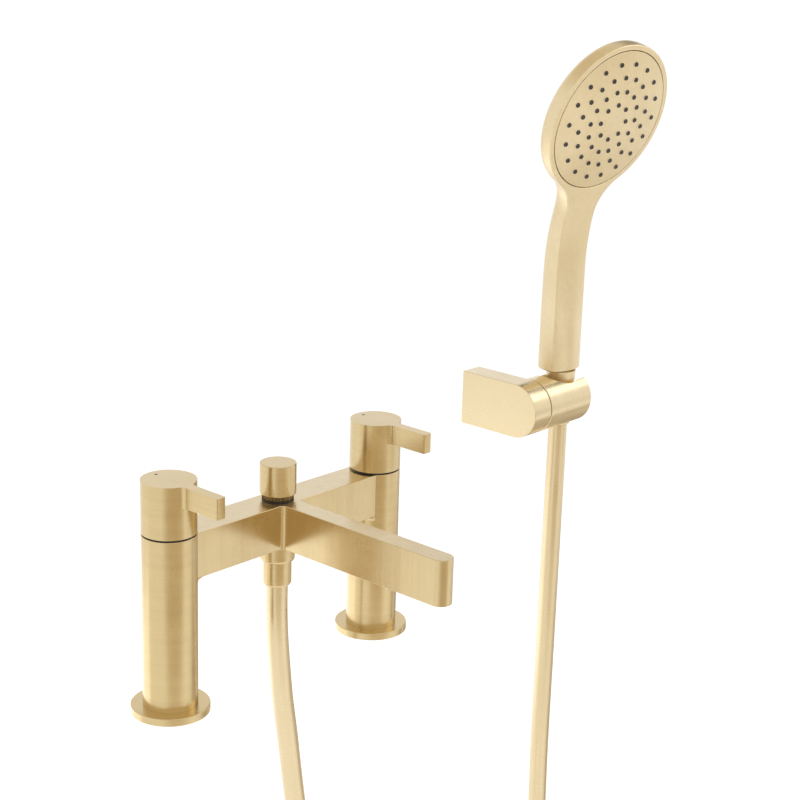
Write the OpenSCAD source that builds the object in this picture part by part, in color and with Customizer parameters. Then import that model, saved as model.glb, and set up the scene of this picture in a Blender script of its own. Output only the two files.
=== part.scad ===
// Bath shower mixer: two pillar valves, a bridge with a blade spout, a diverter, a hose, a wall bracket and
// a handset. Millimetres. Origin on the deck midway between the pillars, spout along -Y, +Z up.

/* [Pillars] */
// Distance between the pillar centres
pillar_pitch = 180; // [160:5:200]
// Diameter of a pillar and of the knob above it
pillar_d = 34; // [32:0.5:40]
// Height of a pillar, deck to the joint under its knob
pillar_h = 115.6; // [105:0.2:140]
// Diameter of a base flange
flange_d = 49; // [44:1:60]
// Thickness of a base flange
flange_h = 4.8; // [3:0.2:8]
// Bevel round the top of a base flange
flange_bevel = 0.6; // [0.2:0.1:1]
// Bore of the inlet socket in a pillar's foot
socket_d = 24.2; // [20:0.2:26]
// Depth of the inlet socket
socket_depth = 16; // [10:1:24]
// Bore of the waterway up a pillar
riser_d = 14; // [11:0.5:15]

/* [Valves] */
// Diameter of the thread that holds a valve in its pillar
valve_thread_d = 20.9; // [20:0.1:23]
// Length of that thread
valve_thread_len = 11; // [9:0.5:13]
// Diameter of the valve's stem below the thread
valve_stem_d = 15; // [15:0.1:16]
// Length of the stem below the thread
valve_stem_len = 14.4; // [13.6:0.2:16]
// Bore of the chamber round the stem
chamber_d = 19.5; // [18:0.1:19.8]
// Across-flats size of the valve's hexagon
valve_hex = 22; // [21:0.5:23]
// Height of the hexagon
valve_hex_h = 5.4; // [4:0.2:8]
// Diameter of the neck that guides the spindle
valve_neck_d = 13; // [11:0.5:16]
// Diameter of a ceramic disc
disc_d = 12.2; // [11:0.1:12.6]
// Thickness of a ceramic disc
disc_h = 2.5; // [2:0.1:2.8]
// Diameter of the ports in the ceramic discs
disc_port_d = 3.2; // [2:0.1:3.6]
// Diameter of a spindle
spindle_d = 8; // [6:0.5:9]
// Length of spindle held in the knob
spindle_grip = 9; // [6:0.5:12]
// Thickness of the rubber seat washer
seat_h = 2.2; // [1.5:0.1:3]

/* [Levers] */
// Height of a lever knob
knob_h = 33; // [30:0.5:44]
// Joint between a pillar and its knob
knob_gap = 1.2; // [1:0.1:2]
// Wall of the knob round its cavity
knob_wall = 2.8; // [2:0.1:3]
// Depth of the cavity in the knob
knob_cavity = 16.2; // [14:0.2:18]
// Bevel round a knob's edges
knob_bevel = 0.5; // [0.2:0.1:1]
// Reach of a lever from its knob's axis
lever_reach = 46.5; // [36:0.5:70]
// Thickness of a lever blade
lever_w = 7; // [5:0.5:10]
// Height of a lever blade
lever_h = 13; // [8:0.5:15]
// Fillet where a blade leaves its knob
lever_fillet = 4; // [1:0.5:6]
// Diameter of the index dot
index_d = 2.4; // [1.5:0.1:4]
// Thickness of the index dot
index_h = 0.8; // [0.5:0.1:1.5]
// Distance of the index dot from the knob's axis
index_off = 11.5; // [8:0.5:13]
// Diameter of a grub screw
grub_d = 4; // [3:0.5:5]
// Length of a grub screw
grub_len = 8; // [5:0.5:10]
// Across-corners size of the hexagon in a grub screw
grub_key = 2.2; // [1.5:0.1:2.4]

/* [Bridge and spout] */
// Width of the bridge, front to back
bridge_w = 24.5; // [22:0.5:30]
// Height of the bridge and of the spout
bridge_h = 29.2; // [28:0.2:34]
// Width of the spout blade
spout_w = 14; // [12:0.5:20]
// Reach of the spout from the pillars' line
spout_reach = 145; // [110:1:180]
// Fillet between the spout and the bridge
spout_fillet = 3; // [1:0.5:8]
// Fillet under the bridge's ends, against the pillars
end_fillet = 3; // [1:0.5:6]
// Outside diameter of the union tubes
union_d = 13; // [11.5:0.5:13]
// Wall of the union tubes
union_wall = 1.8; // [1:0.1:2.5]
// Length of a union tube inside the bridge
union_grip = 12; // [8:0.5:20]
// Bore of the waterway along the bridge
waterway_d = 9; // [7:0.5:10]
// Width of the waterway along the spout
spout_way_w = 8; // [6:0.5:8.5]
// Height of the waterway along the spout
spout_way_h = 14; // [10:0.5:14]
// Width of the flow insert under the spout's tip
insert_w = 9; // [8:0.5:9.5]
// Length of the flow insert
insert_len = 20; // [14:0.5:26]
// Height of the flow insert
insert_h = 7; // [5:0.5:9]
// Metal left between the insert and the spout's tip
insert_edge = 3; // [2:0.5:6]

/* [Diverter] */
// Diameter of the diverter knob
diverter_d = 23.4; // [20:0.2:28]
// Height of the diverter knob
diverter_h = 20.2; // [16:0.2:26]
// Height of the knob's underside above the bridge
diverter_rest = 4; // [3.6:0.1:6]
// Diameter of the diverter stem
stem_d = 7; // [5:0.5:8]
// Length of stem held in the knob
stem_grip = 14; // [8:0.5:15]
// Diameter of the gland's collar
gland_d = 20.5; // [20:0.1:22]
// Diameter of the gland's thread
gland_thread_d = 18.4; // [17.5:0.1:19]
// Length of the gland's thread
gland_thread_len = 7; // [6:0.5:7.5]
// Number of flutes round the gland's collar
gland_flutes = 24; // [12:1:30]
// Bore of the diverter chamber
diverter_bore = 16.2; // [15:0.1:17]
// Thickness of the diverter plunger
plunger_h = 4; // [3:0.5:4.5]
// Thickness of the plunger's rubber seal
plunger_seal_h = 2; // [1.5:0.1:2.5]

/* [Hose outlet] */
// Diameter of the outlet nipple's thread
nipple_d = 19.2; // [18:0.1:20]
// Length of thread below the bridge
nipple_len = 6.5; // [5:0.5:8]
// Length of nipple screwed into the bridge
nipple_grip = 5; // [4:0.5:6]
// Bore of the outlet nipple
nipple_bore = 10; // [8:0.5:11]
// Diameter of the hose nut
hose_nut_d = 22.5; // [22:0.1:25]
// Height of the hose nut
hose_nut_h = 12.4; // [11.8:0.1:16]
// Height of the hose nut's rounded foot
hose_nut_round = 2.2; // [1:0.1:3]
// Thickness of a hose washer
washer_h = 2; // [1.5:0.1:2.5]
// Diameter of the ferrule
ferrule_d = 18.4; // [17:0.1:19]
// Height of the ferrule below the hose nut
ferrule_h = 16.4; // [12:0.2:22]
// Chamfer round the ferrule's foot
ferrule_chamfer = 1.6; // [0.5:0.1:2.5]
// Bore of the ferrule
ferrule_bore = 8; // [6:0.5:9]
// Diameter of the hose
hose_d = 14; // [12:0.5:15]

/* [Wall bracket] */
// Distance of the bracket's near face from the mixer's middle
bracket_x = 232.5; // [200:0.5:280]
// Height of the bracket's axis above the deck
bracket_z = 127; // [122:0.5:160]
// Distance of the bracket's axis behind the pillars' line
bracket_y = -5; // [-20:0.5:10]
// Distance of the bracket's axis from the wall
wall_off = 49; // [42:0.5:70]
// Diameter of the holder and height of the arm
bracket_d = 40; // [39:0.5:42]
// Width of the arm
arm_w = 19; // [18.5:0.5:24]
// Joint between the arm and the holder
holder_gap = 0.8; // [0.6:0.1:1.2]
// Length of the holder
holder_len = 47.7; // [47.3:0.1:54]
// Bevel round the holder's and the arm's ends
holder_bevel = 0.8; // [0.3:0.1:1.5]
// Distance of the socket from the holder's inner end
socket_in = 34.7; // [33.8:0.1:35.2]
// Width of the slot that lets the hose into the socket
slot_w = 16; // [15.4:0.1:16.4]
// Depth of the flare at the top of the socket and slot
mouth_depth = 13; // [8:0.5:15]
// Flare of the socket's mouth to each side
mouth_flare = 8; // [4:0.1:9]
// Distance of the mouth's middle from the socket, toward the arm
mouth_shift = 3.5; // [0:0.5:5]
// Flare of the slot to each side
slot_flare = 7; // [4:0.1:9]
// Diameter of the pivot stud
stud_d = 8; // [6:0.5:10]
// Length of pivot stud in the arm
stud_in_arm = 11; // [8:0.5:12]
// Length of pivot stud in the holder
stud_in_holder = 18; // [12:0.5:19]
// Width of the pocket in the arm's wall end
pocket_w = 13; // [12:0.5:14]
// Height of that pocket
pocket_h = 32; // [29:0.5:33]
// Depth of that pocket
pocket_depth = 15; // [13:0.5:17]
// Thickness of the wall plate
plate_h = 6; // [4:0.5:8]
// Distance between the wall plate's screw holes
screw_pitch = 20; // [16:0.5:20]
// Diameter of the wall plate's screw holes
screw_d = 4.6; // [4:0.1:5]

/* [Conical nut] */
// Diameter of the conical nut's top
cone_top_d = 22.2; // [21.6:0.1:22.4]
// Diameter of the conical nut's foot
cone_foot_d = 17.2; // [17:0.1:18]
// Gap between the holder and the grip's foot
grip_gap = 2; // [0.8:0.1:4]
// Diameter of the handset's inlet thread
inlet_d = 19; // [18.4:0.1:19.2]
// Length of the inlet thread in the nut
inlet_len = 12; // [9:0.5:14]
// Outside diameter of the crimped hose end in the nut
tail_d = 14; // [12:0.5:14.5]

/* [Handset] */
// Turn of the handset about its own axis
handset_turn = -6; // [-30:1:30]
// Half width of the grip
grip_w = 14.7; // [13.5:0.1:18]
// Distance of the grip's front edges in front of its axis
grip_front = 5.1; // [5:0.1:8]
// Depth of the grip behind its front edges
grip_depth = 21.5; // [17:0.5:24]
// Rise of the grip's front between its edges
grip_bulge = 4.5; // [4:0.1:5.5]
// Length of the straight grip
grip_len = 77; // [60:0.5:110]
// Bevel round the grip's foot
grip_bevel = 0.8; // [0.3:0.1:2]
// Half width of the neck
neck_w = 15.2; // [11:0.1:18]
// Radius of the bend from the grip to the head
neck_r = 165; // [80:5:260]
// Length of the straight from the bend to the head's middle
neck_len = 62.5; // [50:0.5:90]
// Fillet from the neck into the head
neck_flare = 32; // [15:1:60]
// Lean of the head, top forward
head_tilt = 18.2; // [8:0.2:30]
// Radius of the head
head_r = 56.5; // [55.5:0.5:66]
// Depth of the head
head_depth = 16.5; // [14:0.5:22]
// Radius of the face plate
face_r = 52; // [49:0.5:53.5]
// Thickness of the face plate
face_t = 2.4; // [1.6:0.1:3]
// Rise of the face plate's dome
face_dome = 3.5; // [1:0.1:5]
// Diameter of the nozzle holes in the face plate
nozzle_d = 3.8; // [2.4:0.1:4]
// Height of the nozzles above the face plate
nozzle_proud = 0.5; // [0.2:0.1:1.5]
// Diameter of the jets in the nozzles
jet_d = 1.3; // [0.8:0.1:1.6]
// Thickness of the nozzle mat
mat_t = 1.5; // [1:0.1:2]
// Diameter of the inlet spigot in the grip
spigot_d = 14; // [12:0.5:15]
// Length of the inlet spigot in the grip
spigot_len = 15; // [10:0.5:20]
// Bore of the inlet
inlet_bore = 10; // [8:0.5:10.5]
// Length of the check valve in the inlet
check_len = 10; // [8:0.5:14]

/* [Fits] */
// Radial play of screwed, turning and sliding fits
play = 0.05; // [0.03:0.01:0.08]
// Clearance between pieces that move past each other
clear = 0.3; // [0.3:0.05:0.5]

/* [Hidden] */
$fn = 64;
over = 1;
gold = [0.80, 0.67, 0.42];
dark = [0.12, 0.12, 0.12];
brass = [0.72, 0.60, 0.32];
white = [0.90, 0.90, 0.88];
steel = [0.70, 0.70, 0.72];
rubber = [0.45, 0.45, 0.46];
red = [0.55, 0.10, 0.08];
blue = [0.10, 0.16, 0.50];

thread_z = pillar_h - valve_thread_len;
stem_z = thread_z - valve_stem_len;
seat_z = stem_z - seat_h;
seat_lip = 1;
knob_z = pillar_h + knob_gap;
knob_top = knob_z + knob_h;
cavity_top = knob_z + knob_cavity;
cavity_d = pillar_d - 2 * knob_wall;
neck_top = cavity_top - knob_gap;
disc_gap = 0.1;
fixed_z = stem_z + disc_gap;
moving_z = fixed_z + disc_h + disc_gap;
foot_z = moving_z + disc_h + disc_gap;
foot_h = 2;
window_z = foot_z + foot_h + disc_gap;
window_h = 3;
window_w = 6;
cup_d = disc_d + 4 * play;
grub_z = cavity_top + spindle_grip / 2;
ring_inset = 0.8;
ring_w = 2.4;

bridge_z = pillar_h - bridge_h;
union_back = 1;
port_z = thread_z - union_d / 2 - 2 * play;
union_x = valve_thread_d / 2 + union_back;
union_end = pillar_d / 2 + union_grip;
tip_y = spout_reach - spout_w / 2;
insert_y = spout_reach - insert_edge - insert_len / 2;
insert_hole = 1.8;
insert_step = 3;

gland_z = pillar_h - gland_thread_len;
gland_top = pillar_h + diverter_rest - clear;
flute_d = 1.4;
flute_foot = 1;
diverter_z = pillar_h + diverter_rest;
nipple_top = bridge_z + nipple_grip;
plunger_z = nipple_top + clear + plunger_seal_h;
plunger_d = diverter_bore - 2 * clear;

nipple_foot = bridge_z - nipple_len;
washer_z = nipple_foot - washer_h;
nut_foot = bridge_z - hose_nut_h;
lip_wall = 1.5;
lip_d = ferrule_d - 2 * lip_wall;
hose_z = nut_foot - ferrule_h;

arm_x = bracket_x + arm_w / 2;
holder_x = bracket_x + arm_w + holder_gap;
socket_x = holder_x + socket_in;
wall_y = bracket_y + wall_off;
bracket_r = bracket_d / 2;
washer_in = 9;
washer_out = bracket_r - 1.4;
pocket_side = (arm_w - pocket_w) / 2;
pocket_fit = 0.3;
arm_grub_y = wall_y - plate_h / 2 - pocket_fit;
arm_grub_len = (bracket_d - pocket_h) / 2 + pocket_fit;
countersink = 1.8;

handset_z = bracket_z + bracket_r + grip_gap;
cone_top = handset_z - clear;
cone_foot = bracket_z - bracket_r + clear;
cone_h = cone_top - cone_foot;
thread_foot = cone_top - inlet_len;
cone_washer_z = thread_foot - washer_h;
cone_play = 0.25;
tail_in = 1;
hose_end = bracket_z - bracket_r - clear;
mouth_z = bracket_z + bracket_r - mouth_depth;
mouth_d = cone_foot_d + (cone_top_d - cone_foot_d) * (mouth_z - cone_foot) / cone_h + 2 * cone_play;

face_gap = 0.3;
recess = face_t + mat_t + face_gap;
mat_r = face_r - 1.5;
neck_arc = neck_r * head_tilt * PI / 180;
s_head = grip_len + neck_arc + neck_len;
flare_t = -sqrt(pow(head_r + neck_flare, 2) - pow(neck_w + neck_flare, 2));
flare_end = flare_t * head_r / (head_r + neck_flare);
s_flare = s_head + flare_t;
arc_end = [grip_front + neck_r * (1 - cos(head_tilt)), grip_len + neck_r * sin(head_tilt)];
head_pos = arc_end + neck_len * [sin(head_tilt), cos(head_tilt)];
grip_round = 3;
head_round = 5;
front_cuts = 8;
back_cuts = 18;

// Nozzle rings: radius, count and turn of the first nozzle
rings = [[43, 18, 0], [33, 18, 10], [23, 14, 0], [13, 8, 0]];

// Hose route: distance along X, share of the bracket's offset in Y, bow forward, height
route_span = 287;
route_sides = 10;
hose_lead = 20;
hose_straight = 18;
route = [[1, 0, 0, 20], [3, 0, 0, 0], [6, 0, 0, -25], [11, 0, 0, -55], [18, 0, 0, -100], [25, 0, 2, -150],
    [31, 0.1, 5, -205], [36, 0.1, 10, -260], [41, 0.2, 15, -315], [48, 0.2, 21, -370], [59, 0.3, 27, -425],
    [77, 0.3, 32, -475], [103, 0.4, 36, -514], [137, 0.5, 38, -537], [172, 0.6, 37, -540],
    [206, 0.7, 34, -526], [236, 0.8, 29, -497], [258, 0.8, 22, -455], [271, 0.9, 16, -405],
    [279, 0.9, 10, -350], [284, 1, 5, -290], [286, 1, 2, -225], [287, 1, 0, -160], [287, 1, 0, -90],
    [287, 1, 0, -20], [287, 1, 0, 50]];

function smooth(t) = let (k = min(1, max(0, t))) k * k * (3 - 2 * k);
function unit(v) = v / norm(v);

// Front line of the handset: distance forward and height at arc length s
function lean(s) = min(head_tilt, max(0, (s - grip_len) / neck_r * 180 / PI));
function front(s) = s < grip_len ? [grip_front, s]
    : s < grip_len + neck_arc
        ? [grip_front + neck_r * (1 - cos(lean(s))), grip_len + neck_r * sin(lean(s))]
        : arc_end + (s - grip_len - neck_arc) * [sin(head_tilt), cos(head_tilt)];

// Half width, depth, roundness and front rise of the handset at arc length s
function half_w(s) = let (t = s - s_head) t < flare_t ? grip_w + (neck_w - grip_w) * smooth(s / s_flare)
    : t < flare_end ? neck_w + neck_flare - sqrt(pow(neck_flare, 2) - pow(t - flare_t, 2))
    : sqrt(pow(head_r, 2) - pow(t, 2));
function depth(s) = let (t = s - s_head) t > 0
    ? head_depth * pow(1 - pow(t / head_r, head_round), 1 / head_round)
    : grip_depth + (head_depth - grip_depth) * smooth((2 * s - grip_len) / (2 * s_head - grip_len));
function roundness(s) = grip_round + (head_round - grip_round) * smooth((s - s_flare) / -flare_t);
function rise(s) = grip_bulge * (1 - smooth(s / s_flare));

// One ring of the handset: front edge to edge, then round the back
function ring(s, inset = 0) = let (
        w = half_w(s) - inset, d = depth(s) - inset, p = 2 / roundness(s), a = lean(s), f = front(s),
        flat = [for (i = [0 : front_cuts - 1]) let (x = -1 + 2 * i / front_cuts)
            [w * x, rise(s) * (1 - x * x) - inset]],
        bow = [for (i = [0 : back_cuts - 1]) let (q = 180 * i / back_cuts)
            [w * sign(cos(q)) * pow(abs(cos(q)), p), -inset - (d - inset) * pow(sin(q), p)]])
    [for (c = concat(flat, bow)) [c[0], -(f[0] + c[1] * cos(a)), f[1] - c[1] * sin(a)]];
loft_s = concat([for (i = [1 : 9]) grip_len * i / 9], [for (i = [1 : 7]) grip_len + neck_arc * i / 7],
    [for (i = [1 : 8]) let (a = grip_len + neck_arc, b = s_head + flare_end) a + (b - a) * i / 8],
    [for (i = [1 : 20]) let (a = asin(flare_end / head_r)) s_head + head_r * sin(a + (88 - a) * i / 20)]);
loft = concat([ring(0, grip_bevel), ring(grip_bevel)], [for (s = loft_s) ring(s)]);

// Smooth run of points through the hose route
hose_ends = [[[0, 0, hose_z + hose_lead], [0, 0, hose_z], [0, 0, hose_z - hose_straight]],
    [[socket_x, bracket_y, hose_end], [socket_x, bracket_y, hose_end + hose_lead]]];
hose_knots = concat(hose_ends[0],
    [for (p = route) [p[0] * socket_x / route_span, p[1] * bracket_y - p[2], p[3]]], hose_ends[1]);
function between(i, t) = let (a = hose_knots[i - 1], b = hose_knots[i], c = hose_knots[i + 1],
        d = hose_knots[i + 2])
    (2 * b + (c - a) * t + (2 * a - 5 * b + 4 * c - d) * t * t + (3 * b - a - 3 * c + d) * t * t * t) / 2;
hose_line = concat([for (i = [1 : len(hose_knots) - 3]) for (t = [0, 0.5]) between(i, t)],
    [hose_ends[1][0]]);
hose_last = len(hose_line) - 1;
function along(i) = i == 0 || i == hose_last ? [0, 0, i == 0 ? -1 : 1]
    : unit(hose_line[i + 1] - hose_line[i - 1]);
function hose_ring(i) = let (t = along(i), u = unit(cross([0, 1, 0], t)), v = cross(t, u))
    [for (k = [0 : route_sides - 1]) let (a = 360 * k / route_sides)
        hose_line[i] + hose_d / 2 * (cos(a) * u + sin(a) * v)];

// Puts a pillar piece at its side, ports facing the middle
module hot_side() { translate([-pillar_pitch / 2, 0, 0]) children(); }
module cold_side() { translate([pillar_pitch / 2, 0, 0]) mirror([1, 0, 0]) children(); }

module rod(z, h, d) { translate([0, 0, z]) cylinder(h = h, d = d); }

module tube(z, h, d, bore) {
    translate([0, 0, z]) difference() {
        cylinder(h = h, d = d);
        rod(-over, h + 2 * over, bore);
    }
}

// Round bar with both edges bevelled
module bevelled(h, d, bevel) {
    rotate_extrude() polygon([[0, 0], [d / 2 - bevel, 0], [d / 2, bevel], [d / 2, h - bevel],
        [d / 2 - bevel, h], [0, h]]);
}

module pillar() {
    difference() {
        cylinder(h = pillar_h, d = pillar_d);
        rod(-over, socket_depth + over, socket_d);
        rod(socket_depth - over, seat_z - socket_depth + 2 * over, riser_d);
        rod(seat_z, thread_z - seat_z + over, chamber_d);
        rod(thread_z, valve_thread_len + over, valve_thread_d + 2 * play);
        translate([0, 0, port_z]) rotate([0, 90, 0]) cylinder(h = pillar_d, d = union_d + 2 * play);
    }
}

module flange() {
    r = flange_d / 2;
    bore = pillar_d / 2 + play;
    rotate_extrude() polygon([[bore, 0], [r, 0], [r, flange_h - flange_bevel], [r - flange_bevel, flange_h],
        [bore, flange_h]]);
}

module glide_ring() {
    tube(pillar_h, knob_gap - clear, pillar_d - 2 * ring_inset, pillar_d - 2 * ring_inset - 2 * ring_w);
}

module cartridge() {
    difference() {
        union() {
            rod(stem_z, valve_stem_len + over, valve_stem_d);
            rod(thread_z, valve_thread_len, valve_thread_d);
            rod(pillar_h, valve_hex_h, valve_hex / cos(30), $fn = 6);
            rod(pillar_h, neck_top - pillar_h, valve_neck_d);
        }
        rod(stem_z - over, window_z + window_h - stem_z + over, cup_d);
        rod(stem_z, neck_top - stem_z + over, spindle_d + 2 * play);
        translate([-valve_stem_d, -window_w / 2, window_z]) cube([2 * valve_stem_d, window_w, window_h]);
    }
}

module seat_washer() { tube(seat_z, seat_h, valve_stem_d, disc_d - 2 * seat_lip); }

// Ceramic disc with two ports, turned about the axis
module disc(z, turn) {
    translate([0, 0, z]) rotate(turn) difference() {
        cylinder(h = disc_h, d = disc_d);
        for (s = [-1, 1]) translate([s * disc_d / 4, 0, 0]) rod(-over, disc_h + 2 * over, disc_port_d);
    }
}

module spindle() {
    rod(foot_z, foot_h, disc_d - 2 * clear);
    rod(foot_z, cavity_top + spindle_grip - foot_z, spindle_d);
}

// Outline of a lever blade with its fillets, knob included
module lever_plan() {
    cx = lever_w / 2 + lever_fillet;
    cy = sqrt(pow(pillar_d / 2 + lever_fillet, 2) - pow(cx, 2));
    translate([-lever_w / 2, -lever_reach]) square([lever_w, lever_reach]);
    difference() {
        polygon([[0, 0], [cx, -cy], [-cx, -cy]]);
        for (s = [-1, 1]) translate([s * cx, -cy]) circle(r = lever_fillet);
    }
}

module lever() {
    difference() {
        union() {
            translate([0, 0, knob_z]) bevelled(knob_h, pillar_d, knob_bevel);
            translate([0, 0, knob_top - lever_h]) linear_extrude(lever_h) lever_plan();
        }
        rod(knob_z - over, knob_cavity + over, cavity_d);
        rod(cavity_top - over, spindle_grip + over + play, spindle_d + 2 * play);
        translate([0, 0, grub_z]) rotate([-90, 0, 0]) cylinder(h = pillar_d, d = grub_d + 2 * play);
        translate([0, index_off, knob_top - index_h]) cylinder(h = index_h + over, d = index_d + 2 * play);
    }
}

module grub(length) {
    difference() {
        cylinder(h = length, d = grub_d);
        rod(length / 2, length, grub_key, $fn = 6);
    }
}

module lever_grub() { translate([0, spindle_d / 2 + play, grub_z]) rotate([-90, 0, 0]) grub(grub_len); }

module index() { translate([0, index_off, knob_top - index_h]) cylinder(h = index_h, d = index_d); }

module union_tube() {
    translate([0, 0, port_z]) rotate([0, 90, 0])
        tube(union_x, union_end - union_x, union_d, union_d - 2 * union_wall);
}

module stadium(length, width) {
    square([width, length - width], center = true);
    for (s = [-1, 1]) translate([0, s * (length - width) / 2]) circle(d = width);
}

module bridge_plan() {
    cx = spout_w / 2 + spout_fillet;
    square([pillar_pitch, bridge_w], center = true);
    translate([-spout_w / 2, -tip_y]) square([spout_w, tip_y]);
    translate([0, -tip_y]) circle(d = spout_w);
    difference() {
        translate([-cx, -bridge_w / 2 - spout_fillet]) square([2 * cx, bridge_w / 2]);
        for (s = [-1, 1]) translate([s * cx, -bridge_w / 2 - spout_fillet]) circle(r = spout_fillet);
    }
}

// Fillet from the bridge's underside down onto a pillar
module bridge_fillet() {
    n = 6;
    r = pillar_d / 2 + end_fillet;
    z = bridge_z - end_fillet;
    bow = [for (i = [0 : n]) let (a = 90 * i / n) [r - end_fillet * cos(a), z + end_fillet * sin(a)]];
    intersection() {
        rotate_extrude() polygon(concat(bow, [[r, bridge_z + over], [pillar_d / 2, bridge_z + over]]));
        translate([0, -bridge_w / 2, z]) cube([pillar_d, bridge_w, end_fillet + over]);
    }
}

module bridge_ends() {
    cylinder(h = 2 * pillar_h, d = pillar_d + 2 * play);
    translate([0, 0, port_z]) rotate([0, 90, 0]) cylinder(h = union_end + play, d = union_d + 2 * play);
    translate([0, 0, port_z]) rotate([0, 90, 0]) cylinder(h = pillar_pitch / 2, d = waterway_d);
}

module outlet_nipple() {
    color(brass) difference() {
        union() {
            rod(nipple_foot, nipple_len, nipple_d);
            rod(bridge_z - over, nipple_grip + over, diverter_bore - 2 * play);
        }
        rod(nipple_foot - over, nipple_len + nipple_grip + 2 * over, nipple_bore);
    }
}

module outlet_washer() { color(dark) tube(washer_z, washer_h, nipple_d - clear, nipple_bore); }

module hose_nut() {
    r = hose_nut_d / 2;
    n = 5;
    drop = r - ferrule_d / 2;
    foot = [for (i = [0 : n]) let (a = 90 * i / n)
        [r - drop * (1 - cos(a)), nut_foot + hose_nut_round * (1 - sin(a))]];
    ledge = washer_z - play;
    color(gold) rotate_extrude() polygon(concat([[r, bridge_z]], foot, [[lip_d / 2 + play, nut_foot],
        [lip_d / 2 + play, ledge], [nipple_d / 2 + play, ledge], [nipple_d / 2 + play, bridge_z]]));
}

module ferrule() {
    r = ferrule_d / 2;
    color(gold) rotate_extrude() polygon([[ferrule_bore / 2, hose_z], [r - ferrule_chamfer, hose_z],
        [r, hose_z + 2 * ferrule_chamfer], [r, nut_foot], [lip_d / 2, nut_foot], [lip_d / 2, washer_z],
        [ferrule_bore / 2, washer_z]]);
}

module hose() {
    n = route_sides;
    points = [for (i = [0 : hose_last]) each hose_ring(i)];
    sides = [for (i = [0 : hose_last - 1]) for (k = [0 : n - 1]) let (a = i * n + k, b = i * n + (k + 1) % n)
        each [[a, a + n, b + n], [a, b + n, b]]];
    ends = [[for (k = [0 : n - 1]) k], [for (k = [n - 1 : -1 : 0]) hose_last * n + k]];
    color(gold) polyhedron(points, concat(sides, ends));
}

module diverter_gland() {
    color(dark) difference() {
        union() {
            rod(gland_z + play, gland_thread_len, gland_thread_d);
            rod(pillar_h, gland_top - pillar_h, gland_d);
        }
        rod(gland_z - over, gland_top, stem_d + 2 * play);
        for (i = [1 : gland_flutes]) rotate(360 * i / gland_flutes) translate([gland_d / 2, 0, 0])
            rod(pillar_h + flute_foot, diverter_rest, flute_d, $fn = 16);
    }
}

module diverter_stem() {
    color(steel) rod(plunger_z, diverter_z + stem_grip - plunger_z, stem_d);
}

module diverter_plunger() { color(brass) tube(plunger_z, plunger_h, plunger_d, stem_d + 2 * play); }

module diverter_seal() {
    color(dark) rod(plunger_z - plunger_seal_h, plunger_seal_h, plunger_d);
}

module diverter_knob() {
    color(gold) difference() {
        translate([0, 0, diverter_z]) bevelled(diverter_h, diverter_d, knob_bevel);
        rod(diverter_z - over, stem_grip + over, stem_d + 2 * play);
    }
}

module bridge_body() {
    color(gold) difference() {
        union() {
            translate([0, 0, bridge_z]) linear_extrude(bridge_h) bridge_plan();
            hot_side() bridge_fillet();
            cold_side() bridge_fillet();
        }
        hot_side() bridge_ends();
        cold_side() bridge_ends();
        rod(bridge_z - over, bridge_h, diverter_bore);
        rod(gland_z, gland_thread_len + over, gland_thread_d + 2 * play);
        translate([-spout_way_w / 2, -insert_y, port_z - spout_way_h / 2])
            cube([spout_way_w, insert_y, spout_way_h]);
        translate([0, -insert_y, bridge_z - over]) linear_extrude(port_z - bridge_z + over)
            stadium(insert_len + 2 * play, insert_w + 2 * play);
    }
}

module flow_insert() {
    rows = floor((insert_len - insert_w) / insert_step / 2);
    color(dark) translate([0, -insert_y, bridge_z]) linear_extrude(insert_h) difference() {
        stadium(insert_len, insert_w);
        for (i = [-rows : rows], s = [-1, 0, 1]) translate([s * insert_step * 0.8, i * insert_step])
            square(insert_hole, center = true);
    }
}

// Turns a piece drawn about Z to lie along X on the bracket's axis
module on_bracket(x) { translate([x, bracket_y, bracket_z]) rotate([90, 0, 90]) children(); }

module bracket_arm() {
    color(gold) difference() {
        union() {
            on_bracket(bracket_x) bevelled(arm_w, bracket_d, holder_bevel);
            on_bracket(bracket_x + holder_bevel) linear_extrude(arm_w - 2 * holder_bevel)
                translate([0, -bracket_r]) square([wall_off, bracket_d]);
            on_bracket(bracket_x) linear_extrude(arm_w)
                translate([0, holder_bevel - bracket_r]) square([wall_off, bracket_d - 2 * holder_bevel]);
        }
        on_bracket(bracket_x + arm_w - stud_in_arm) cylinder(h = stud_in_arm + over, d = stud_d + 2 * play);
        translate([bracket_x + pocket_side, wall_y - pocket_depth, bracket_z - pocket_h / 2])
            cube([pocket_w, pocket_depth + over, pocket_h]);
        translate([arm_x, arm_grub_y, bracket_z]) rod(-bracket_d, bracket_d, grub_d + 2 * play);
    }
}

module wall_plate() {
    w = pocket_w - 2 * pocket_fit;
    h = pocket_h - 2 * pocket_fit;
    color(steel) translate([arm_x, wall_y, bracket_z]) rotate([90, 0, 0]) difference() {
        translate([-w / 2, -h / 2, 0]) cube([w, h, plate_h]);
        for (s = [-1, 1]) translate([0, s * screw_pitch / 2, 0]) {
            rod(-over, plate_h + 2 * over, screw_d);
            translate([0, 0, plate_h - countersink])
                cylinder(h = countersink, d1 = screw_d, d2 = screw_d + 2 * countersink);
        }
    }
}

module arm_grub() {
    color(steel) translate([arm_x, arm_grub_y, bracket_z - pocket_h / 2 + pocket_fit]) mirror([0, 0, 1])
        grub(arm_grub_len);
}

module pivot_stud() {
    color(steel) on_bracket(bracket_x + arm_w - stud_in_arm)
        cylinder(h = stud_in_arm + holder_gap + stud_in_holder, d = stud_d);
}

module friction_washer() {
    color(dark) on_bracket(bracket_x + arm_w) tube(0, holder_gap - play, 2 * washer_out, 2 * washer_in);
}

module at_socket() { translate([socket_x, bracket_y, 0]) children(); }

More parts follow.
